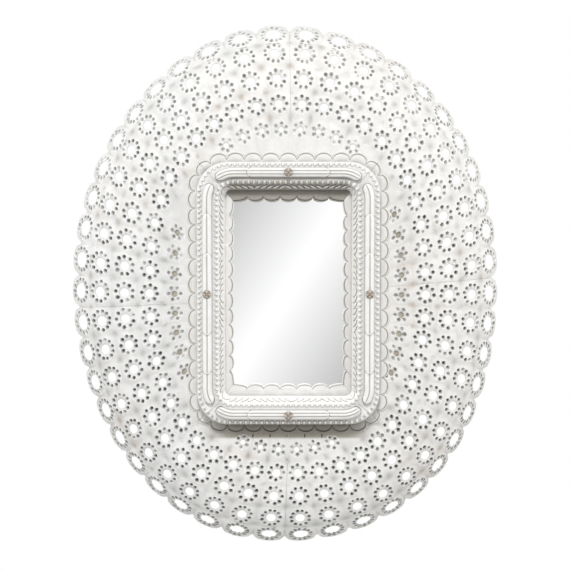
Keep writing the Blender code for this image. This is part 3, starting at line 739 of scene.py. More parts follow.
def panel_point(angle, inset):
    """Point of the panel's front face at an ellipse angle and an inset from the rim.

    The hand-cut oval leans to the lower right: the rim between its four quarter points, the rows all round.
    """
    inner = inset / BAND_INSETS[-1]
    squareness = RIM_SQUARENESS + (INNER_SQUARENESS - RIM_SQUARENESS) * inner
    lean = OVAL_LEAN * (inner + (1 - inner) * math.sin(2 * angle) ** 2)
    x, z = ring_point(OVAL_WIDTH / 2 - inset, OVAL_HEIGHT / 2 - inset, squareness, angle)
    return Vector((x - OVAL_LEFT + lean, PANEL_Y + dome(inset), z + OVAL_UP - lean))


def panel_normal(angle, inset):
    """Direction out of the panel's front face."""
    along = panel_point(angle + ANGLE_PROBE, inset) - panel_point(angle - ANGLE_PROBE, inset)
    inward = panel_point(angle, inset + MM) - panel_point(angle, inset - MM)
    return along.cross(inward).normalized()


def opening_point(angle):
    """Point of the panel's opening, behind the moulding."""
    x, z = ring_point(OPENING_HALF_WIDTH, OPENING_HALF_HEIGHT, OPENING_SQUARENESS, angle)
    return Vector((x, PANEL_Y, z))


def column_angles(first, last, columns):
    """Angles of the columns between two seams, evenly spaced round the middle row."""
    angles = np.linspace(first, last, ARC_SAMPLES)
    points = np.array([panel_point(angle, ROW_INSETS[FULL_ROWS // 2]) for angle in angles])
    steps = np.linalg.norm(np.diff(points, axis=0), axis=1)
    run = np.concatenate([[0], np.cumsum(steps)])
    return lambda column: float(np.interp(column / columns * run[-1], run, angles))


def rim_scallop(column):
    """Inset of the rim: nothing at a column's middle, the scallop's depth between two columns."""
    across = 2 * (column % 1) - 1
    return SCALLOP_DEPTH * (1 - math.sqrt(1 - across**2))


def sheet_inset(column, band):
    """Inset of a band number. The first band starts at the scalloped rim."""
    outer = int(band)
    start = BAND_INSETS[outer] if outer else rim_scallop(column)
    return start + (band - outer) * (BAND_INSETS[outer + 1] - start)


def sheet_point(angle, column, band, height=0.0):
    """Point of the panel from a column number and a band number, where the rim is 0."""
    if band >= FULL_ROWS:
        outer = panel_point(angle, BAND_INSETS[FULL_ROWS])
        return outer.lerp(opening_point(angle), band - FULL_ROWS) - Vector((0, height, 0))
    inset = sheet_inset(column, band)
    return panel_point(angle, inset) + panel_normal(angle, inset) * height


def widened(shape, loop, radius, height):
    """Extrudes a round loop of edges to a new radius and height, and returns the new loop."""
    grown = bmesh.ops.extrude_edge_only(shape, edges=loop)["geom"]
    outer = set(verts_in(grown))
    for vert in outer:
        vert.co = Vector((vert.co.x, vert.co.y, 0)).normalized() * radius + Vector((0, 0, height))
    return [edge for edge in edges_in(grown) if outer.issuperset(edge.verts)]


def punch_cup(shape, cell, number, petal_layer):
    """Sinks one face of the petal ring as a cup with a raised lip, a little longer away from the hole."""
    centre = cell.calc_center_median()
    radial = Vector((centre.x, centre.y, 0)).normalized()
    pit, _ = marks(shape)
    for radius, height, dark in CUP_RINGS:
        bmesh.ops.inset_individual(shape, faces=[cell], thickness=WELD)
        for vert in cell.verts:
            out = Vector((vert.co.x - centre.x, vert.co.y - centre.y, 0)).normalized()
            out += radial * out.dot(radial) * CUP_STRETCH
            vert.co = centre + out * radius + Vector((0, 0, height))
            vert[petal_layer] = number
            vert[pit] = dark
    return centre


def cell_grid(shape):
    """A square grid, the size of one flat cell, with its points marked as points of a cell's edge."""
    edge_layer = shape.verts.layers.int["cell_edge"]
    steps = CELL_STEPS
    grid = bmesh.ops.create_grid(shape, x_segments=steps, y_segments=steps, size=CELL_SIDE / 2)["verts"]
    for vert in grid:
        vert[edge_layer] = 1
    return grid


def cell_share(distance):
    """How far across its cell a point of the grid lies, from 0 to 1."""
    return round((distance / CELL_SIDE + 0.5) * CELL_STEPS) / CELL_STEPS


def flower_cell(shape, row):
    """A flat flower at the origin in a square cell: a hole, a ring of cups, and a web out to the cell's edge.

    Returns its geometry and the middles of its cups.
    """
    petal_layer = shape.verts.layers.int["petal"]
    pit, _ = marks(shape)
    known = set(everything(shape))
    # The border comes first: after the cuts below, its lines would be kept in another order each run
    border = cell_grid(shape)
    half = CELL_SIDE / 2 - WELD
    bmesh.ops.delete(shape, geom=[v for v in border if max(map(abs, v.co.xy)) < half], context="VERTS")
    border = [vert for vert in border if vert.is_valid]
    bmesh.ops.translate(shape, vec=(0, 0, -CELL_SIDE / 2), verts=border)
    hole = bmesh.ops.create_circle(shape, segments=2 * PETALS[row], radius=HOLE_RADII[row])["verts"]
    bmesh.ops.translate(shape, vec=(0, 0, -HOLE_EDGE_DROP), verts=hole)
    loop = widened(shape, edges_at(hole), HOLE_RADII[row] + HOLE_LIP, HOLE_LIP_RISE)
    inner = widened(shape, loop, PETAL_RINGS[row] - PETAL_REACH, 0)
    outer = widened(shape, inner, PETAL_RINGS[row] + PETAL_REACH, 0)
    rim = {vert for edge in outer for vert in edge.verts}
    spokes = [edge for vert in rim for edge in vert.link_edges if edge not in outer]
    spokes.sort(key=lambda edge: math.atan2(*edge.verts[0].co.xy))
    for spoke in spokes[::2]:
        bmesh.utils.edge_split(spoke, spoke.verts[0], 0.5)
    bmesh.ops.dissolve_edges(shape, edges=spokes[1::2])
    # Painted shade on the hole's edge
    for vert in hole:
        vert[pit] = HOLE_EDGE_SHADE
    cells = [face for face in shape.faces if face not in known and len(face.verts) == 8]
    # Cups are numbered from between two spokes, where rounding can't change their order
    half_spoke = math.pi / (2 * PETALS[row])
    cells.sort(key=lambda face: (math.atan2(*face.calc_center_median().xy) + half_spoke) % FULL_TURN)
    middles = {n: punch_cup(shape, cell, n, petal_layer) for n, cell in enumerate(cells, 1)}
    fresh = [line for line in shape.edges if line not in known and line.is_boundary]
    outer = [line for line in fresh if line.verts[0].co.xy.length > PETAL_RINGS[row]]
    bmesh.ops.bridge_loops(shape, edges=outer + edges_at(border))
    return [part for part in everything(shape) if part not in known], middles


def plain_cell(shape):
    """A flat cell with no flower. Returns the same as a flower's cell does."""
    known = set(everything(shape))
    cell_grid(shape)
    return [part for part in everything(shape) if part not in known], {}


def crease_depth(column, band):
    """How far the sheet lies back on the lines between cells."""
    if band == 0 or band > FULL_ROWS:
        return 0.0
    beside = abs(2 * (column % 1) - 1)
    down = abs(2 * (band % 1) - 1)
    return CREASE * beside**CREASE_POWER + DIMPLE * (beside * down) ** DIMPLE_POWER


def stray(dice, most):
    """A chance shift in the flat sheet, up to a distance each way."""
    return Vector((dice.uniform(-most, most), dice.uniform(-most, most), 0))


class Flower:
    """Where one flower sits on the panel, and how the hand that punched it strayed."""

    def __init__(self, angle_of, column, row, dice):
        self.angle_of = angle_of
        self.column = column
        self.row = row
        self.across = column + 0.5
        angle = angle_of(self.across)
        if row < FULL_ROWS:
            reach = BAND_INSETS[row + 1] - BAND_INSETS[row]
        else:
            reach = (opening_point(angle) - panel_point(angle, BAND_INSETS[row])).length
        self.band = row + (ROW_INSETS[row] - BAND_INSETS[row]) / reach
        centre = sheet_point(angle, self.across, self.band)
        beside = sheet_point(angle_of(self.across + CELL_PROBE), self.across, self.band)
        inward = sheet_point(angle, self.across, self.band + CELL_PROBE)
        self.width = (beside - centre).length / CELL_PROBE
        self.height = (inward - centre).length / CELL_PROBE
        cell = min(self.width, self.height)
        self.shift = stray(dice, min(FLOWER_WANDER, (0.5 - FLOWER_ROOM) * cell))
        self.turn = Matrix.Rotation(dice.uniform(-FLOWER_TURN, FLOWER_TURN), 3, "Z")
        largest = FLOWER_ROOM * cell / (PETAL_RINGS[row] + PETAL_REACH)
        self.size = min(dice.uniform(*FLOWER_SIZES), largest)
        self.up = Vector((math.cos(angle), -math.sin(angle), 0))
        # Painted shade in the cups: darker towards the bottom, lighter in the row next to the frame
        share_up = 0.5 + (centre.z - OVAL_UP) / OVAL_HEIGHT
        self.cup_shade = CUP_SHADE_BOTTOM + (CUP_SHADE_TOP - CUP_SHADE_BOTTOM) * share_up
        if row == FULL_ROWS:
            self.cup_shade *= CUP_SHADE_INNER_ROW
        self.cups = {n: self.cup(dice) for n in range(1, PETALS[row] + 1)}

    def cup(self, dice):
        """One cup's shift, the slip of its bottom, its size, depth and painted shade."""
        shift = Vector((dice.gauss(0, PETAL_WANDER), dice.gauss(0, PETAL_WANDER), 0))
        slip = self.up * CUP_LEAN + stray(dice, CUP_SLIP)
        cup_shade = self.cup_shade * dice.triangular(CUP_SHADE_LEAST, 1.0, 1.0)
        depth = dice.uniform(*CUP_DEPTHS)
        if self.row == FULL_ROWS:
            depth *= INNER_CUP_DEPTH
        return shift, slip, dice.uniform(*CUP_SIZES), depth, min(1.0, cup_shade)

    def lay(self, vert, middles, layers):
        """Moves a point of the flat flower to its place on the panel, and returns its column number."""
        pit, grime, edge, petal, across, down = layers
        local = vert.co.copy()
        if vert[edge]:
            column = self.column + cell_share(local.x)
            inward = cell_share(local.y)
            band = self.row + (inward**INNER_CELL_POWER if self.row == FULL_ROWS else inward)
            vert.co = sheet_point(self.angle_of(column), column, band, -crease_depth(column, band))
            vert[across], vert[down] = column, band
            # The sheet's dirt is set from the cup shade, so it too is darker towards the bottom
            vert[grime] = self.cup_shade
            return column
        if vert[petal]:
            shift, slip, size, depth, cup_shade = self.cups[vert[petal]]
            middle = middles[vert[petal]]
            local = middle + (local - middle) * size + shift + slip * max(0.0, vert[pit])
            # Painted shade in the cup, varied from cup to cup
            vert[pit] *= cup_shade
            if local.z < 0:
                local.z *= depth
        else:
            vert[grime] = FLOWER_GRIME * self.cup_shade
        local = self.turn @ local * self.size + self.shift
        if self.row == 0:
            local.x *= RIM_STRETCH
        if self.row == 0 and local.y < 0:
            local.y *= (self.band * self.height - RIM_LIP) / (PETAL_RINGS[0] + PETAL_REACH)
        column = self.across + local.x / self.width
        band = max(self.band + local.y / self.height, SAME_COLUMN)
        vert.co = sheet_point(self.angle_of(column), column, band, local.z)
        vert[across], vert[down] = column, band
        return column


def seam_gap(angle):
    """Half the gap between two quarters, across the seam at this angle."""
    return Vector((-math.sin(angle), 0, math.cos(angle))) * GAP / 2


def add_panel(name, first, last, columns, first_run, last_run, finish, dice):
    """One quarter of the dome: a flower or a plain cell for every column and row, welded to one sheet."""
    angle_of = column_angles(first, last, columns)
    shape = new_shape()
    floats, ints = shape.verts.layers.float, shape.verts.layers.int
    ints.new("cell_edge")
    ints.new("petal")
    floats.new("column")
    floats.new("band")
    layers = *marks(shape), ints["cell_edge"], ints["petal"], floats["column"], floats["band"]
    patterns = [flower_cell(shape, row) for row in range(FULL_ROWS + 1)] + [plain_cell(shape)]
    for column in range(columns):
        for row in range(FULL_ROWS + 1):
            flowered = row < FULL_ROWS or column < first_run or column >= columns - last_run
            pattern, middles = patterns[row if flowered else -1]
            flower = Flower(angle_of, column, row, dice)
            copied = bmesh.ops.duplicate(shape, geom=pattern)["geom"]
            for vert in verts_in(copied):
                at = flower.lay(vert, middles, layers)
                if at < SAME_COLUMN:
                    vert.co += seam_gap(first)
                if at > columns - SAME_COLUMN:
                    vert.co -= seam_gap(last)
    spare = [vert for pattern, _ in patterns for vert in verts_in(pattern)]
    bmesh.ops.delete(shape, geom=spare, context="VERTS")
    bmesh.ops.remove_doubles(shape, verts=shape.verts[:], dist=WELD)
    bmesh.ops.recalc_face_normals(shape, faces=shape.faces[:])
    face_forwards(shape)
    for line in shape.edges:
        line.smooth = not line.is_boundary
    sheet_piece("pierced_tin_" + name, shape, finish, "panel_" + name, SHEET)


# Moulding round the glass
def side_kind(side):
    return "long" if side in UPRIGHTS else "short"


def side_halves(side):
    """Half length along a side and half distance across the frame, both on the crest line."""
    if side in UPRIGHTS:
        return FRAME_HALF_HEIGHT, FRAME_HALF_WIDTH
    return FRAME_HALF_WIDTH, FRAME_HALF_HEIGHT


def side_place(side, along, out, height):
    """World point from a distance along a side, a distance out from the frame's centre and a height."""
    right, up = SIDES[side]
    return Vector((right * out + up * along, PANEL_Y - height, up * out - right * along))


def side_run(side, offset):
    """Half a side's straight stretch at this offset, its corner radius, and its half run to the mitre."""
    growth = CORNER_GROWTH_OUT if offset > 0 else CORNER_GROWTH_IN
    radius = CORNER_RADIUS + growth * offset
    straight = side_halves(side)[0] + offset - radius
    return straight, radius, straight + radius * EIGHTH_TURN


def corner_turn(side, run, offset):
    """How far round its corner a run along a side has turned, nothing on the straight stretch."""
    straight, radius, _ = side_run(side, offset)
    return max(0.0, abs(run) - straight) / radius


def run_point(side, run, offset, extra, height):
    """Point at a run along a line parallel to the crest, moved out by extra, at a height."""
    straight, radius, _ = side_run(side, offset)
    turn = corner_turn(side, run, offset)
    along = math.copysign(min(abs(run), straight) + (radius + extra) * math.sin(turn), run)
    out = side_halves(side)[1] + offset - radius + (radius + extra) * math.cos(turn)
    return side_place(side, along, out, height)


def run_matrix(side, run, offset, height):
    """Frame of axes there: X along the run, Y outwards, Z to the front."""
    turn = math.copysign(corner_turn(side, run, offset), run)
    centre = run_point(side, run, offset, 0, height)
    start = side_place(side, 0, 0, 0)
    ahead = side_place(side, 1, 0, 0) - start
    out = side_place(side, 0, 1, 0) - start
    along = ahead * math.cos(turn) - out * math.sin(turn)
    away = out * math.cos(turn) + ahead * math.sin(turn)
    axes = Matrix((along, away, (0, -1, 0))).transposed().to_4x4()
    return Matrix.Translation(centre) @ axes


def even_stops(side, offset, pitch):
    """Runs of evenly spaced ornaments from mitre to mitre."""
    half_run = side_run(side, offset)[2]
    count = round(2 * half_run / pitch)
    return [half_run * ((2 * number + 1) / count - 1) for number in range(count)]


def side_shade(shares, side, run, offset):
    """How much painted shade lies at a run along a side: its own share, and the lower of two shares at a
    mitre.
    """
    order = list(SIDES)
    beside = order[(order.index(side) + (1 if run > 0 else -1)) % len(order)]
    change = min(shares[side], shares[beside]) - shares[side]
    return shares[side] + change * corner_turn(side, run, offset) / EIGHTH_TURN


def add_moulding(side, finish):
    """The hollow moulding of one side, mitred at both ends, with its folds eased."""
    turns = [EIGHTH_TURN * step / CORNER_STEPS for step in range(CORNER_STEPS + 1)]
    stations = [(-1, turn) for turn in reversed(turns)] + [(1, turn) for turn in turns]

    def place(column, row):
        end, turn = stations[column]
        offset, height = MOULDING_PROFILE[row]
        straight, radius, _ = side_run(side, offset)
        run = end * (straight + radius * turn)
        point = run_point(side, run, offset, 0, height)
        # Painted shade on the faces towards the glass, in the line under the crest's inner edge, and on the
        # outer faces
        painted_shade = 0.0
        if offset <= -LEAF_TOP_IN:
            painted_shade = side_shade(GLASS_SIDE_SHADE, side, run, offset)
        elif offset == -LAND_HALF:
            painted_shade = LAND_EDGE_SHADE + LAND_EDGE_SHADE_GAIN * side_shade(GLASS_SIDE_SHADE, side, run, offset)
        elif offset >= SHOULDER_OUT:
            painted_shade = side_shade(OUTER_SIDE_SHADE, side, run, offset)
        return point, painted_shade, FOLD_GRIME if row in FOLD_ROWS else FACE_GRIME

    shape = placed_grid(len(stations) - 1, len(MOULDING_PROFILE) - 1, place)
    ease(shape, [edge for edge in shape.edges if edge.calc_face_angle(0) > FOLD_ANGLE], FOLD_EASE, 2)
    sheet_piece("tin_moulding_" + side, shape, finish, "moulding_" + side, TIN)


def add_beads(row, side, offset, shares, finish):
    """A row of round beads along one side, each half sunk in the moulding."""
    shape = new_shape()
    pit, grime = marks(shape)
    size = Matrix.Diagonal((BEAD_RADIUS, BEAD_RADIUS, BEAD_RISE, 1))
    for run in even_stops(side, offset, BEAD_PITCH):
        place = run_matrix(side, run, offset, LAND_HEIGHT - TIN) @ size
        # Painted shade by side, and painted shade in the gaps between beads
        painted_shade = BEAD_SIDE_SHADE * max(0.0, side_shade(shares, side, run, offset) - BEAD_SHADE_START)
        bead = bmesh.ops.create_uvsphere(shape, u_segments=10, v_segments=8, radius=1)
        for vert in bead["verts"]:
            vert[pit] = painted_shade + BEAD_SHADE * abs(vert.co.x) ** 3
            vert[grime] = 1.0 - max(0.0, vert.co.z)
            vert.co = place @ vert.co
    mesh_piece(f"{row}_beads_{side}", shape, finish)


def leaf_form(point):
    """A ball made into a leaf: pointed ends and a vein down its middle."""
    width = point.y * math.sqrt(max(0.0, 1 - point.x**2))
    vein = bell(point.y, VEIN_WIDTH) * VEIN_DEPTH
    return Vector((point.x, width, point.z * (1 - vein))), vein


def add_leaves(side, finish):
    """A band of slanting leaves on the moulding's inner slope, turned about at the middle and twice more."""
    shape = new_shape()
    pit, grime = marks(shape)
    top = Vector((-LEAF_TOP_IN, LAND_HEIGHT - LEAF_TOP_DROP))
    foot = Vector((-LEAF_FOOT_IN, LEAF_FOOT_HEIGHT))
    middle = (top + foot) / 2
    tilt = Matrix.Rotation(math.atan2(top.y - foot.y, top.x - foot.x), 4, "X")
    size = Matrix.Diagonal((LEAF_LENGTH / 2, LEAF_WIDTH / 2, LEAF_RISE, 1))
    for run in even_stops(side, middle.x, LEAF_PITCH):
        way = math.copysign(LEAF_SLANT, run * (abs(run) - LEAF_TURN))
        slant = Matrix.Rotation(way, 4, "Z")
        painted_shade = side_shade(GLASS_SIDE_SHADE, side, run, middle.x)
        place = run_matrix(side, run, middle.x, middle.y) @ tilt @ slant @ size
        leaf = bmesh.ops.create_uvsphere(shape, u_segments=12, v_segments=8, radius=1)
        for vert in leaf["verts"]:
            sunk = vert.co.z < LEAF_SUNK
            form, vein = leaf_form(vert.co)
            vert.co = place @ form
            # Painted shade on the sunk part of each leaf, more on the shaded sides, and in its vein
            vert[pit] = min(1.0, LEAF_SHADE + painted_shade) if sunk else vein
            vert[grime] = LEAF_FOOT_GRIME if sunk else LEAF_GRIME
    mesh_piece("leaf_band_" + side, shape, finish)


def feather_spans(side):
    """Start and end run, and the tips, of each crest feather on a side: the middle one has two tips."""
    straight, radius, _ = side_run(side, 0)
    last = straight + radius * CREST_LAST_TURN[side_kind(side)]
    ends = FEATHER_ENDS[side_kind(side)]
    spans = [(-ends[0], ends[0], True)]
    for start, end in zip(ends, ends[1:] + [last]):
        spans += [(start - FEATHER_TUCK, end, False), (FEATHER_TUCK - start, -end, False)]
    return spans


def feather_sheet(side, start, end, both_tips):
    """One crest feather: a half-round strip with long grooves and a round tip that stands clear."""
    length = abs(end - start)
    columns = round(length / FEATHER_STEP)
    way = math.copysign(1, end - start)

    def stop(column):
        """Distance along the feather, closer together in its tips."""
        from_end = columns - column
        if from_end <= TIP_STEPS:
            return length - FEATHER_TIP * (from_end / TIP_STEPS) ** 2
        if both_tips and column <= TIP_STEPS:
            return FEATHER_TIP * (column / TIP_STEPS) ** 2
        first = FEATHER_TIP if both_tips else 0
        skipped = TIP_STEPS if both_tips else 0
        share = (column - skipped) / (columns - skipped - TIP_STEPS)
        return first + share * (length - FEATHER_TIP - first)

    def place(column, row):
        distance = stop(column)
        to_tip = min(length - distance, distance) if both_tips else length - distance
        near = max(0.0, 1 - to_tip / FEATHER_TIP)
        width = math.sqrt(max(0.0, 1 - near**2))
        untucked = 1.0 if both_tips else min(1.0, distance / (TUCKED_SHARE * length))
        lift = TUCKED_RISE + (1 - TUCKED_RISE) * untucked
        lean = math.pi * row / CREST_STEPS
        across = math.cos(lean)
        reed = sum(bell(across - spot, REED_WIDTH) for spot in REED_PLACES[side_kind(side)])
        arch = math.sin(lean) ** CREST_ARCH
        full = (CREST_RISE - TIN) * lift * (TIP_RISE + (1 - TIP_RISE) * width)
        rise = full * arch - REED_DEPTH * reed * width
        height = LAND_HEIGHT + GAP + TIN + max(0.0, rise)
        point = run_point(side, start + way * distance, 0, CREST_HALF * width * across, height)
        # Painted shade along the feather's edges, in its reeds and round its tip
        edge = 1 - arch
        tip_line = max(0.0, math.hypot(near, width * across) - TIP_LINE) / (1 - TIP_LINE)
        tip_line *= min(1.0, TIP_FADE * near)
        pit = min(1.0, REED_SHADE * reed * width + edge**2 + TIP_SHADE * tip_line)
        return point, pit, REED_GRIME * reed + edge

    return placed_grid(columns, CREST_STEPS, place)


def add_crest(side, finish):
    """The overlapping feathers of one side, from the middle to the corners."""
    shape = new_shape()
    for start, end, both_tips in feather_spans(side):
        feather = feather_sheet(side, start, end, both_tips)
        data = bpy.data.meshes.new("feather")
        feather.to_mesh(data)
        feather.free()
        shape.from_mesh(data)
        bpy.data.meshes.remove(data)
    sheet_piece("crest_feathers_" + side, shape, finish, "crest_" + side, TIN)


def bow(share):
    """Height of a scallop from 0 to 1 at a share of its width."""
    return math.sqrt(max(0.0, 1 - (2 * share - 1) ** 2))


def edge_distance(row, width):
    """Distance from a scalloped edge of one row of a strip's points: the strip's back, then even steps."""
    if row == 0:
        return width
    return (STRIP_ROWS - row) * EDGE_STEP


def edge_relief(distance):
    """Relief of a scalloped strip: a raised line along its edge and a groove behind that."""
    ridge = bell(distance - RIDGE_IN, LINE_HALF)
    groove = bell(distance - GROOVE_IN, LINE_HALF)
    return EDGE_RIDGE * (ridge - GROOVE_DEPTH * groove), groove


def add_outer_scallops(side, finish):
    """A strip along a side and half of each corner, with half a scallop at each end."""
    half_run = side_run(side, OUTER_VALLEY)[2]
    count = max(3, round(2 * half_run / OUTER_PITCH))
    columns = count * STRIP_STEPS

    def place(column, row):
        run = half_run * (2 * column / columns - 1)
        tip = bow((column / STRIP_STEPS + 0.5) % 1) * (OUTER_TIP - OUTER_VALLEY)
        distance = edge_distance(row, tip + OUTER_VALLEY - OUTER_STRIP_IN)
        relief, groove = edge_relief(distance)
        point = run_point(side, run, OUTER_VALLEY, tip - distance, GAP + TIN + relief)
        # Painted shade in the groove and by side, darkest under the bottom member
        painted_shade = side_shade(OUTER_SIDE_SHADE, side, run, OUTER_VALLEY)
        return point, GROOVE_SHADE * groove + painted_shade, OUTER_GROOVE_GRIME * groove

    shape = placed_grid(columns, STRIP_ROWS, place)
    sheet_piece("scalloped_edge_" + side, shape, finish, "outer_scallop_" + side, TIN)


def add_inner_scallops(side, finish):
    """A mitred strip with scallops that point at the glass and half ones at its ends."""
    half_along, half_out = side_halves(side)
    tip_along, tip_out = INNER_TIP_SIDES, INNER_TIP_ENDS
    if side in UPRIGHTS:
        tip_along, tip_out = tip_out, tip_along
    half_run = half_along - tip_along
    middle_run = half_run - INNER_CORNER_RUN
    count = max(1, round(2 * middle_run / INNER_PITCH))
    columns = (count + 2) * STRIP_STEPS
    valley = half_out - tip_out + INNER_SCALLOP_DEPTH
    far = half_along - INNER_STRIP_OUT

    def scallop(column):
        """Distance along the side and height of the scallop there."""
        number, step = divmod(column - STRIP_STEPS, STRIP_STEPS)
        share = step / STRIP_STEPS
        if number < 0:
            return -middle_run - INNER_CORNER_RUN * (1 - share), bow(0.5 + share / 2)
        if number >= count:
            past = (column - (count + 1) * STRIP_STEPS) / STRIP_STEPS
            return middle_run + INNER_CORNER_RUN * past, bow(past / 2)
        return middle_run * (2 * (number + share) / count - 1), bow(share)

    def place(column, row):
        along, rise = scallop(column)
        edge = side_place(side, along, valley - INNER_SCALLOP_DEPTH * rise, 0)
        back = side_place(side, along / half_run * far, half_out - INNER_STRIP_OUT, 0)
        width = (edge - back).length
        distance = edge_distance(row, width)
        relief, groove = edge_relief(distance)
        point = edge.lerp(back, distance / width)
        point.y = GLASS_FRONT - GAP - TIN - relief
        # Painted shade in the groove and on the faces that look at the glass
        return point, GROOVE_SHADE * groove + GLASS_SIDE_SHADE[side], INNER_GROOVE_GRIME * groove

    shape = placed_grid(columns, STRIP_ROWS, place)
    sheet_piece("glass_edging_" + side, shape, finish, "inner_scallop_" + side, TIN)


# Fasteners
def turned(profile, steps):
    """A turned shape about Z from (radius, height) points, closed where they start and end on the axis."""
    shape = new_shape()
    points = [shape.verts.new((radius, 0, height)) for radius, height in profile]
    lines = [shape.edges.new(pair) for pair in zip(points, points[1:])]
    bmesh.ops.spin(
        shape, geom=points + lines, axis=(0, 0, 1), angle=FULL_TURN, steps=steps, use_merge=True
    )
    bmesh.ops.remove_doubles(shape, verts=shape.verts[:], dist=WELD)
    bmesh.ops.recalc_face_normals(shape, faces=shape.faces[:])
    return shape


def add_rosette_nail(side, finish):
    """A nail in the middle of a side, whose head is a four-petalled rosette."""
    seat = side_place(side, 0, side_halves(side)[1], LAND_HEIGHT + CREST_RISE + 2 * GAP)
    length = BOARD_FRONT + NAIL_BITE - seat.y
    shares = [step / ROSETTE_RINGS for step in range(ROSETTE_RINGS + 1)]
    rings = [(share, math.sqrt(1 - share**ROSETTE_POWER)) for share in shares]
    edge = ROSETTE_EDGE
    head = [(ROSETTE_RADIUS * out, ROSETTE_RISE * (edge + (1 - edge) * up)) for out, up in rings]
    shank = [(ROSETTE_RADIUS, 0), (NAIL_RADIUS, 0), (NAIL_RADIUS, -length), (0, -length)]
    shape = turned(head + shank, ROSETTE_STEPS)
    pit, _ = marks(shape)
    for vert in shape.verts:
        radius = vert.co.xy.length / ROSETTE_RADIUS
        if vert.co.z <= 0 or radius < ROSETTE_MIDDLE:
            continue
        lobe = abs(math.sin(2 * math.atan2(vert.co.y, vert.co.x))) ** LOBE_POWER
        cut = (1 - lobe) * (1 - bell(radius, CORE_WIDTH))
        vert[pit] = cut
        vert.co.xy *= 1 - LOBE_WAIST + LOBE_WAIST * lobe
        vert.co.z *= 1 - LOBE_CUT * cut - CORE_LINE_DEPTH * bell(radius - CORE_LINE, CORE_LINE_WIDTH)
    move(shape, Matrix.Translation(seat) @ Matrix.Rotation(QUARTER_TURN, 4, "X"))
    mesh_piece("rosette_" + side, shape, finish, ["rosette_nail_" + side])


def add_screw(node, finish):
    """A slotted screw in the place of a plain one, its head towards the wall."""
    low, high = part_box(node)
    middle = (low + high) / 2
    head_radius = (high.x - low.x) / 2
    shank_radius = head_radius / 2
    length = high.y - low.y
    head_height = (LARGE_HEAD if head_radius > SMALL_SCREW else SMALL_HEAD) * head_radius
    profile = [
        (0, 0),
        (shank_radius * SCREW_TIP_RADIUS, shank_radius * SCREW_TIP_HEIGHT),
        (shank_radius, shank_radius),
        (shank_radius, length - head_height),
        (head_radius, length - head_height),
        (head_radius, length - HEAD_CROWN * head_height),
        (head_radius * HEAD_FLAT, length - HEAD_FLAT_DOWN * head_height),
    ]
    shape = turned(profile, SCREW_STEPS)
    mouth = [edge for edge in shape.edges if edge.is_boundary]
    cap = bmesh.ops.contextual_create(shape, geom=mouth)["faces"]
    for way in (-1, 1):
        cut = {part for face in cap for part in (face, *face.edges, *face.verts)}
        split = bmesh.ops.bisect_plane(
            shape, geom=list(cut), plane_co=(0, way * head_radius * SLOT_HALF, 0), plane_no=(0, 1, 0)
        )["geom"]
        cap = [part for part in split if isinstance(part, bmesh.types.BMFace)]
    slot = min(cap, key=lambda face: abs(face.calc_center_median().y))
    draft, depth = head_radius * SLOT_DRAFT, head_height * SLOT_DEPTH
    bmesh.ops.inset_individual(shape, faces=[slot], thickness=draft, depth=-depth)
    move(shape, Matrix.Translation((middle.x, low.y, middle.z)) @ Matrix.Rotation(-QUARTER_TURN, 4, "X"))
    mesh_piece("slotted_" + node, shape, finish, [node])


# Timber and hanger
def eased_copy(node, name, edge, finish, body="mirror"):
    """A copy of a node with its sharp edges eased."""
    shape = bmesh.new()
    shape.from_mesh(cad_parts[node].data)
    bmesh.ops.remove_doubles(shape, verts=shape.verts[:], dist=WELD)
    bmesh.ops.dissolve_limit(shape, angle_limit=FLAT_ANGLE, verts=shape.verts[:], edges=shape.edges[:])
    ease(shape, [line for line in shape.edges if line.calc_face_angle(0) > SHARP_ANGLE], edge, 3)
    piece = mesh_piece(name, shape, finish, [node], body)
    piece.data.set_sharp_from_angle(angle=SMOOTH_ANGLE)
    return piece


def add_ring(finish):
    """The hanger's wire ring, rounded."""
    piece = eased_copy("hanger_ring", "wire_ring", WIRE_EASE, finish, "ring")
    smooth = piece.modifiers.new("Round wire", "SUBSURF")
    smooth.levels = smooth.render_levels = 2


# Stage
def add_camera():
    data = bpy.data.cameras.new("camera")
    data.lens = data.sensor_width * CAMERA_DISTANCE / FIELD_AT_PANEL
    camera = linked("camera", data)
    back = Vector((0, -math.cos(CAMERA_RISE), math.sin(CAMERA_RISE)))
    camera.location = Vector((AIM_X, PANEL_Y, AIM_Z)) + back * CAMERA_DISTANCE
    camera.rotation_euler = (-back).to_track_quat("-Z", "Y").to_euler()
    bpy.context.scene.camera = camera


def add_lamp(name, place, size, power):
    """A square lamp that looks at the origin."""
    data = bpy.data.lights.new(name, "AREA")
    data.size = size
    data.energy = power
    lamp = linked(name, data)
    lamp.location = place
    lamp.rotation_euler = (-Vector(place)).to_track_quat("-Z", "Y").to_euler()


def add_world(light):
    """White where it is seen straight, in a mirror or through glass, and a soft light elsewhere."""
    world = bpy.data.worlds.new("white_studio")
    bpy.context.scene.world = world
    world.use_nodes = True
    nodes = Nodes(world.node_tree)
    seen = nodes.add("ShaderNodeLightPath", output="Is Camera Ray")
    for ray in ("Is Glossy Ray", "Is Transmission Ray"):
        seen = seen.math("MAXIMUM", nodes.add("ShaderNodeLightPath", output=ray))
    shader = world.node_tree.nodes["Background"]
    shader.inputs["Color"].default_value = (1, 1, 1, 1)
    nodes.join(shader.inputs["Strength"], light + seen * (1 - light))


def add_floor():
    shape = bmesh.new()
    bmesh.ops.create_circle(shape, cap_ends=True, segments=FLOOR_STEPS, radius=FLOOR_RADIUS)
    bmesh.ops.translate(shape, vec=(0, 0, -FLOOR_DOWN), verts=shape.verts[:])
    pale = Finish("pale_floor")
    colour = pale.mix(pale.noise(12, 3), (0.84, 0.84, 0.83), (0.88, 0.88, 0.87))
    floor = mesh_object("floor", shape, pale.set(base_color=colour, roughness=0.8))


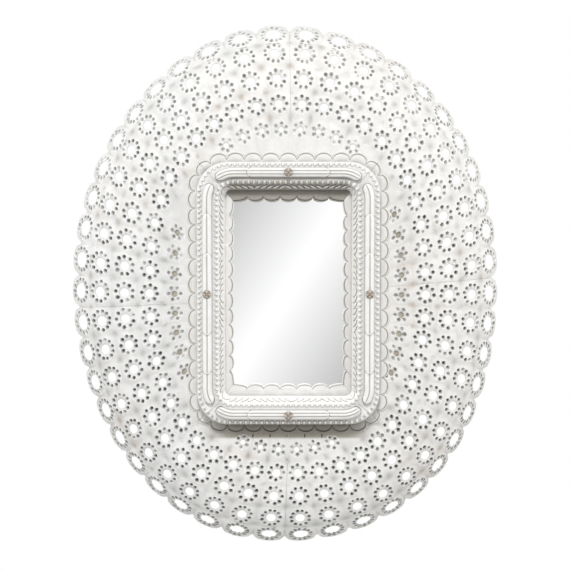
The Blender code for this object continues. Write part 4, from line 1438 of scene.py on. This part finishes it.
def add_card():
    """A glowing card in front of the glass, seen only in reflections: its painted glow, white on a diagonal
    and grey to its corners, is a painted reflection on the glass, and it is no lamp.
    """
    shape = bmesh.new()
    bmesh.ops.create_grid(shape, x_segments=1, y_segments=1, size=CARD_HALF)
    move(shape, Matrix.Translation((0, -CARD_DISTANCE, 0)) @ Matrix.Rotation(-QUARTER_TURN, 4, "X"))
    grade = Finish("graded_card")
    line = grade.axis("X") * math.cos(CARD_LEAN) - (grade.axis("Z") + CARD_DOWN) * math.sin(CARD_LEAN)
    glow = (CARD_PEAK - abs(line) * CARD_FALL).math("MAXIMUM", CARD_LEAST)
    material = grade.set(base_color=(0, 0, 0), emission_color=glow, emission_strength=1.0)
    card = mesh_object("graded_card", shape, material)
    card.visible_camera = False
    card.visible_diffuse = False
    card.visible_shadow = False
    card.visible_transmission = False


def finish_node(node, finish):
    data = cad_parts[node].data
    data.materials.clear()
    data.materials.append(finish)


def build():
    dice = random.Random(11)
    wash = {"dirt": 0.2, "rust_share": 0.15}
    panel_paint = white_washed(
        "white_washed_panel", COOL_WHITE, WARM_WHITE, PANEL_SHADE_GREY, dirt=0.3, rust_share=0.35
    )
    upright_paint = white_washed(
        "white_washed_uprights", CREAM, CREAM, FRAME_SHADE_TEA, brushed=(1, 1, STROKE_STRETCH), **wash
    )
    level_paint = white_washed(
        "white_washed_levels", CREAM, CREAM, FRAME_SHADE_TEA, brushed=(STROKE_STRETCH, 1, 1), **wash
    )
    tin = dull_tin()
    zinc = zinc_steel()
    rust = rusty_iron()
    upright_pine = pine("upright_pine", (1, 1, GRAIN_STRETCH))
    level_pine = pine("level_pine", (GRAIN_STRETCH, 1, 1))
    for quadrant in QUADRANTS:
        add_panel(*quadrant, panel_paint, dice)
    for name in SEAMS:
        finish_node("seam_strap_" + name, tin)
    for side in SIDES:
        frame_paint = upright_paint if side in UPRIGHTS else level_paint
        add_moulding(side, frame_paint)
        add_beads("outer", side, BEAD_OUT, OUTER_SIDE_SHADE, frame_paint)
        add_beads("inner", side, -BEAD_IN, GLASS_SIDE_SHADE, frame_paint)
        add_leaves(side, frame_paint)
        add_crest(side, frame_paint)
        add_outer_scallops(side, frame_paint)
        add_inner_scallops(side, frame_paint)
        add_rosette_nail(side, rust)
    finish_node("mirror_glass", silvered_glass())
    eased_copy("backing_board", "planed_board", TIMBER_EASE, upright_pine)
    for node in ("stile_left", "stile_right"):
        eased_copy(node, "planed_" + node, TIMBER_EASE, upright_pine)
    for node in ("rail_top", "rail_middle", "rail_bottom"):
        eased_copy(node, "planed_" + node, TIMBER_EASE, level_pine)
    for node in sorted(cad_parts):
        if node.startswith("screw_"):
            add_screw(node, zinc)
    eased_copy("hanger_strap", "bent_hanger_strap", STRAP_EASE, zinc)
    add_ring(zinc)


bpy.context.scene.view_settings.view_transform = "Standard"
build()
add_camera()
add_lamp("key_lamp", (-0.25, -3.11, 2.61), size=0.6, power=81)
add_lamp("left_lamp", (-2.0, -0.9, 0.7), size=0.8, power=15)
add_lamp("right_lamp", (2.0, -0.9, 0.7), size=0.8, power=18)
add_lamp("low_lamp", (0, -0.35, -0.95), size=0.5, power=0.4)
add_world(WORLD_LIGHT)
add_floor()
add_card()
